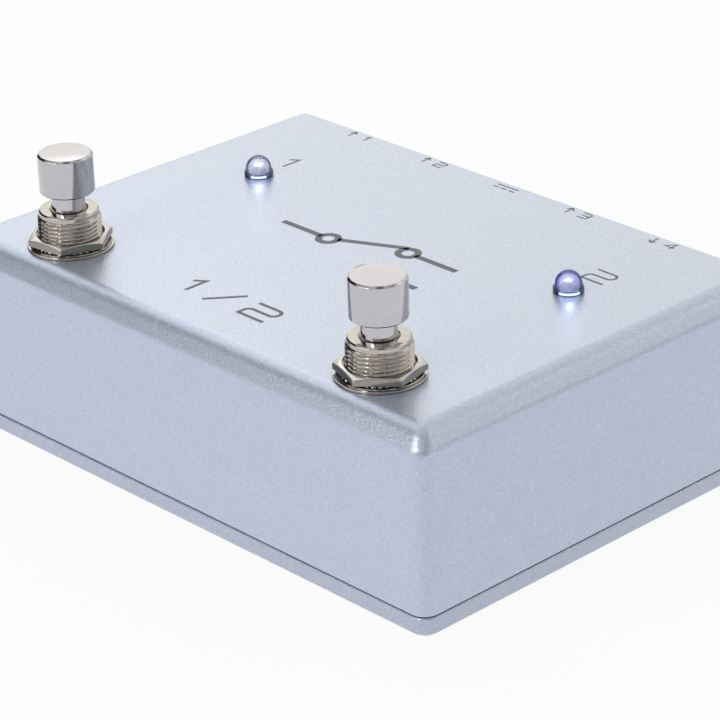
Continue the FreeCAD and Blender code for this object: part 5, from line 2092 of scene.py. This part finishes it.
@dataclass(frozen=True)
class SkyPatch:
    """A bright or dark patch of the studio that metal reflects.

    Attributes:
        azimuth: Where it is, counted from +X towards +Y.
        elevation: Its height above the horizon.
        inner: Its radius up to where it starts to fade.
        outer: Its radius where it has faded.
        amount: What it adds to the light there, or takes away.
    """

    azimuth: float
    elevation: float
    inner: float
    outer: float
    amount: float

    def direction(self) -> Vector:
        """Work out which way the patch lies.

        Returns:
            The way to it as a unit vector.
        """
        around = math.radians(self.azimuth)
        up = math.radians(self.elevation)
        return Vector((math.cos(around) * math.cos(up), math.sin(around) * math.cos(up), math.sin(up)))


@dataclass(frozen=True)
class SoftLamp:
    """A square soft lamp that looks at the box: its place and size in metres, and its power."""

    name: str
    place_m: tuple[float, float, float]
    size_m: float
    watts: float
    colour: str = "#FBFCFF"

    def hang(self) -> None:
        """Put the lamp in the scene."""
        glow = bpy.data.lights.new(self.name, "AREA")
        glow.shape = "SQUARE"
        glow.size = self.size_m
        glow.energy = self.watts
        glow.color = to_linear(self.colour)[:3]
        lamp = bpy.data.objects.new(self.name, glow)
        aim = (-Vector(self.place_m)).to_track_quat("-Z", "Y")
        lamp.matrix_world = Matrix.Translation(self.place_m) @ aim.to_matrix().to_4x4()
        bpy.context.scene.collection.objects.link(lamp)


@dataclass
class Studio:
    """A white sweep of floor, soft light and the camera at the photograph's angle."""

    lens: float = 157.28
    sensor: float = 36.0
    clip_m: Span = (0.01, 50.0)
    place: tuple[float, float, float] = (391.90, -367.42, 268.66)
    right: tuple[float, float, float] = (0.69284, 0.72061, -0.02642)
    down: tuple[float, float, float] = (0.29094, -0.31288, -0.90413)
    onward: tuple[float, float, float] = (-0.65980, 0.61873, -0.42643)
    floor_reach_m: float = 6.0
    floor_drop: float = 0.04
    sky: float = 0.46
    least_sky: float = 0.04
    sky_colour: str = "#FEFDF6"
    patches: tuple[SkyPatch, ...] = (
        SkyPatch(138, 16, 30, 60, 0.25),
        SkyPatch(137, 19, 8, 26, 0.42),
        SkyPatch(137, 24, 7, 14, 0.2),
        SkyPatch(-108, 27, 21, 26, 1.4),
        SkyPatch(-164, 11, 24, 34, -0.95),
        SkyPatch(88, 37, 16, 35, 0.42),
        SkyPatch(-138, -20, 24, 29, 0.5),
        SkyPatch(48, 25, 10, 30, 0.6),
        SkyPatch(38, 2, 4, 14, -0.4),
        SkyPatch(-40, 12, 10, 24, -0.6),
        SkyPatch(14, 4, 10, 20, 0.5),
        SkyPatch(-50, 80, 10, 40, 0.35),
        SkyPatch(-33, 64, 7, 13, -0.6),
        SkyPatch(-88, 34, 2, 9, 11.0),
    )
    lamps: tuple[SoftLamp, ...] = (
        SoftLamp("key_softbox", (-0.77, 0.2, 0.95), 1.0, 2.4),
        SoftLamp("front_fill", (0.7, -0.7, 0.5), 0.6, 0.5),
    )

    def build(self) -> None:
        """Build the camera, the floor, the sky and the lamps."""
        self.build_camera()
        self.build_floor()
        self.build_sky()
        for lamp in self.lamps:
            lamp.hang()
        bpy.context.scene.view_settings.view_transform = "Standard"

    def build_camera(self) -> None:
        """Put the camera where the photograph was taken from."""
        eye = bpy.data.cameras.new("camera")
        eye.lens = self.lens
        eye.sensor_width = self.sensor
        eye.clip_start, eye.clip_end = self.clip_m
        camera = bpy.data.objects.new("camera", eye)
        turn = Matrix((Vector(self.right), -Vector(self.down), -Vector(self.onward))).transposed()
        camera.matrix_world = Matrix.Translation(Vector(self.place) * MM) @ turn.to_4x4()
        bpy.context.scene.collection.objects.link(camera)
        bpy.context.scene.camera = camera

    def build_floor(self) -> None:
        """Lay the pale floor, just under the box."""
        form = bmesh.new()
        bmesh.ops.create_grid(form, x_segments=1, y_segments=1, size=self.floor_reach_m)
        floor = loose_object("floor", form)
        floor.location.z = -self.floor_drop * MM
        floor.data.materials.append(PAPER.material())

    def build_sky(self) -> None:
        """Build the studio round the object: white to look at, with soft patches in metal."""
        world = bpy.data.worlds.new("studio")
        bpy.context.scene.world = world
        world.use_nodes = True
        tree = world.node_tree
        tree.nodes.clear()
        way = add_node(tree, "ShaderNodeTexCoord").outputs["Generated"]
        level: Socket | float = self.sky
        for patch in self.patches:
            facing = add_node(tree, "ShaderNodeVectorMath", {0: way, 1: patch.direction()},
                              operation="DOT_PRODUCT")
            share = add_node(tree, "ShaderNodeMapRange",
                             {"Value": facing.outputs["Value"],
                              "From Min": math.cos(math.radians(patch.outer)),
                              "From Max": math.cos(math.radians(patch.inner)), "To Max": patch.amount},
                             interpolation_type="SMOOTHSTEP")
            level = combine(tree, Combining.SUM, level, share.outputs[0])
        light = combine(tree, Combining.LARGER, level, self.least_sky)
        around = add_node(tree, "ShaderNodeBackground",
                          {"Color": to_linear(self.sky_colour), "Strength": light})
        white = add_node(tree, "ShaderNodeBackground", {"Color": to_linear(WHITE), "Strength": 1.0})
        ray = add_node(tree, "ShaderNodeLightPath")
        seen = combine(tree, Combining.LARGER, ray.outputs["Is Camera Ray"],
                       ray.outputs["Is Transmission Ray"])
        both = mix_shaders(tree, seen, around.outputs[0], white.outputs[0])
        add_node(tree, "ShaderNodeOutputWorld", {"Surface": both})


def main() -> None:
    """Build the dressed switch box and its studio."""
    logging.basicConfig(level=logging.INFO, format="%(name)s: %(message)s")
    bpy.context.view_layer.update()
    Studio().build()
    assemblies = (
        DieCastBox(),
        BaseCover(),
        FootSwitch("a", nut_turn=7.5),
        FootSwitch("b", nut_turn=42.0),
        IndicatorLamp("a", EPOXY),
        IndicatorLamp("b", EPOXY_BLUE, window_half=43.0),
        SocketRow(),
        PowerSocket(),
        CircuitBoard(),
        PanelPrint(),
    )
    for assembly in assemblies:
        assembly.build()
        assembly.dress()


if __name__ == "__main__":
    main()
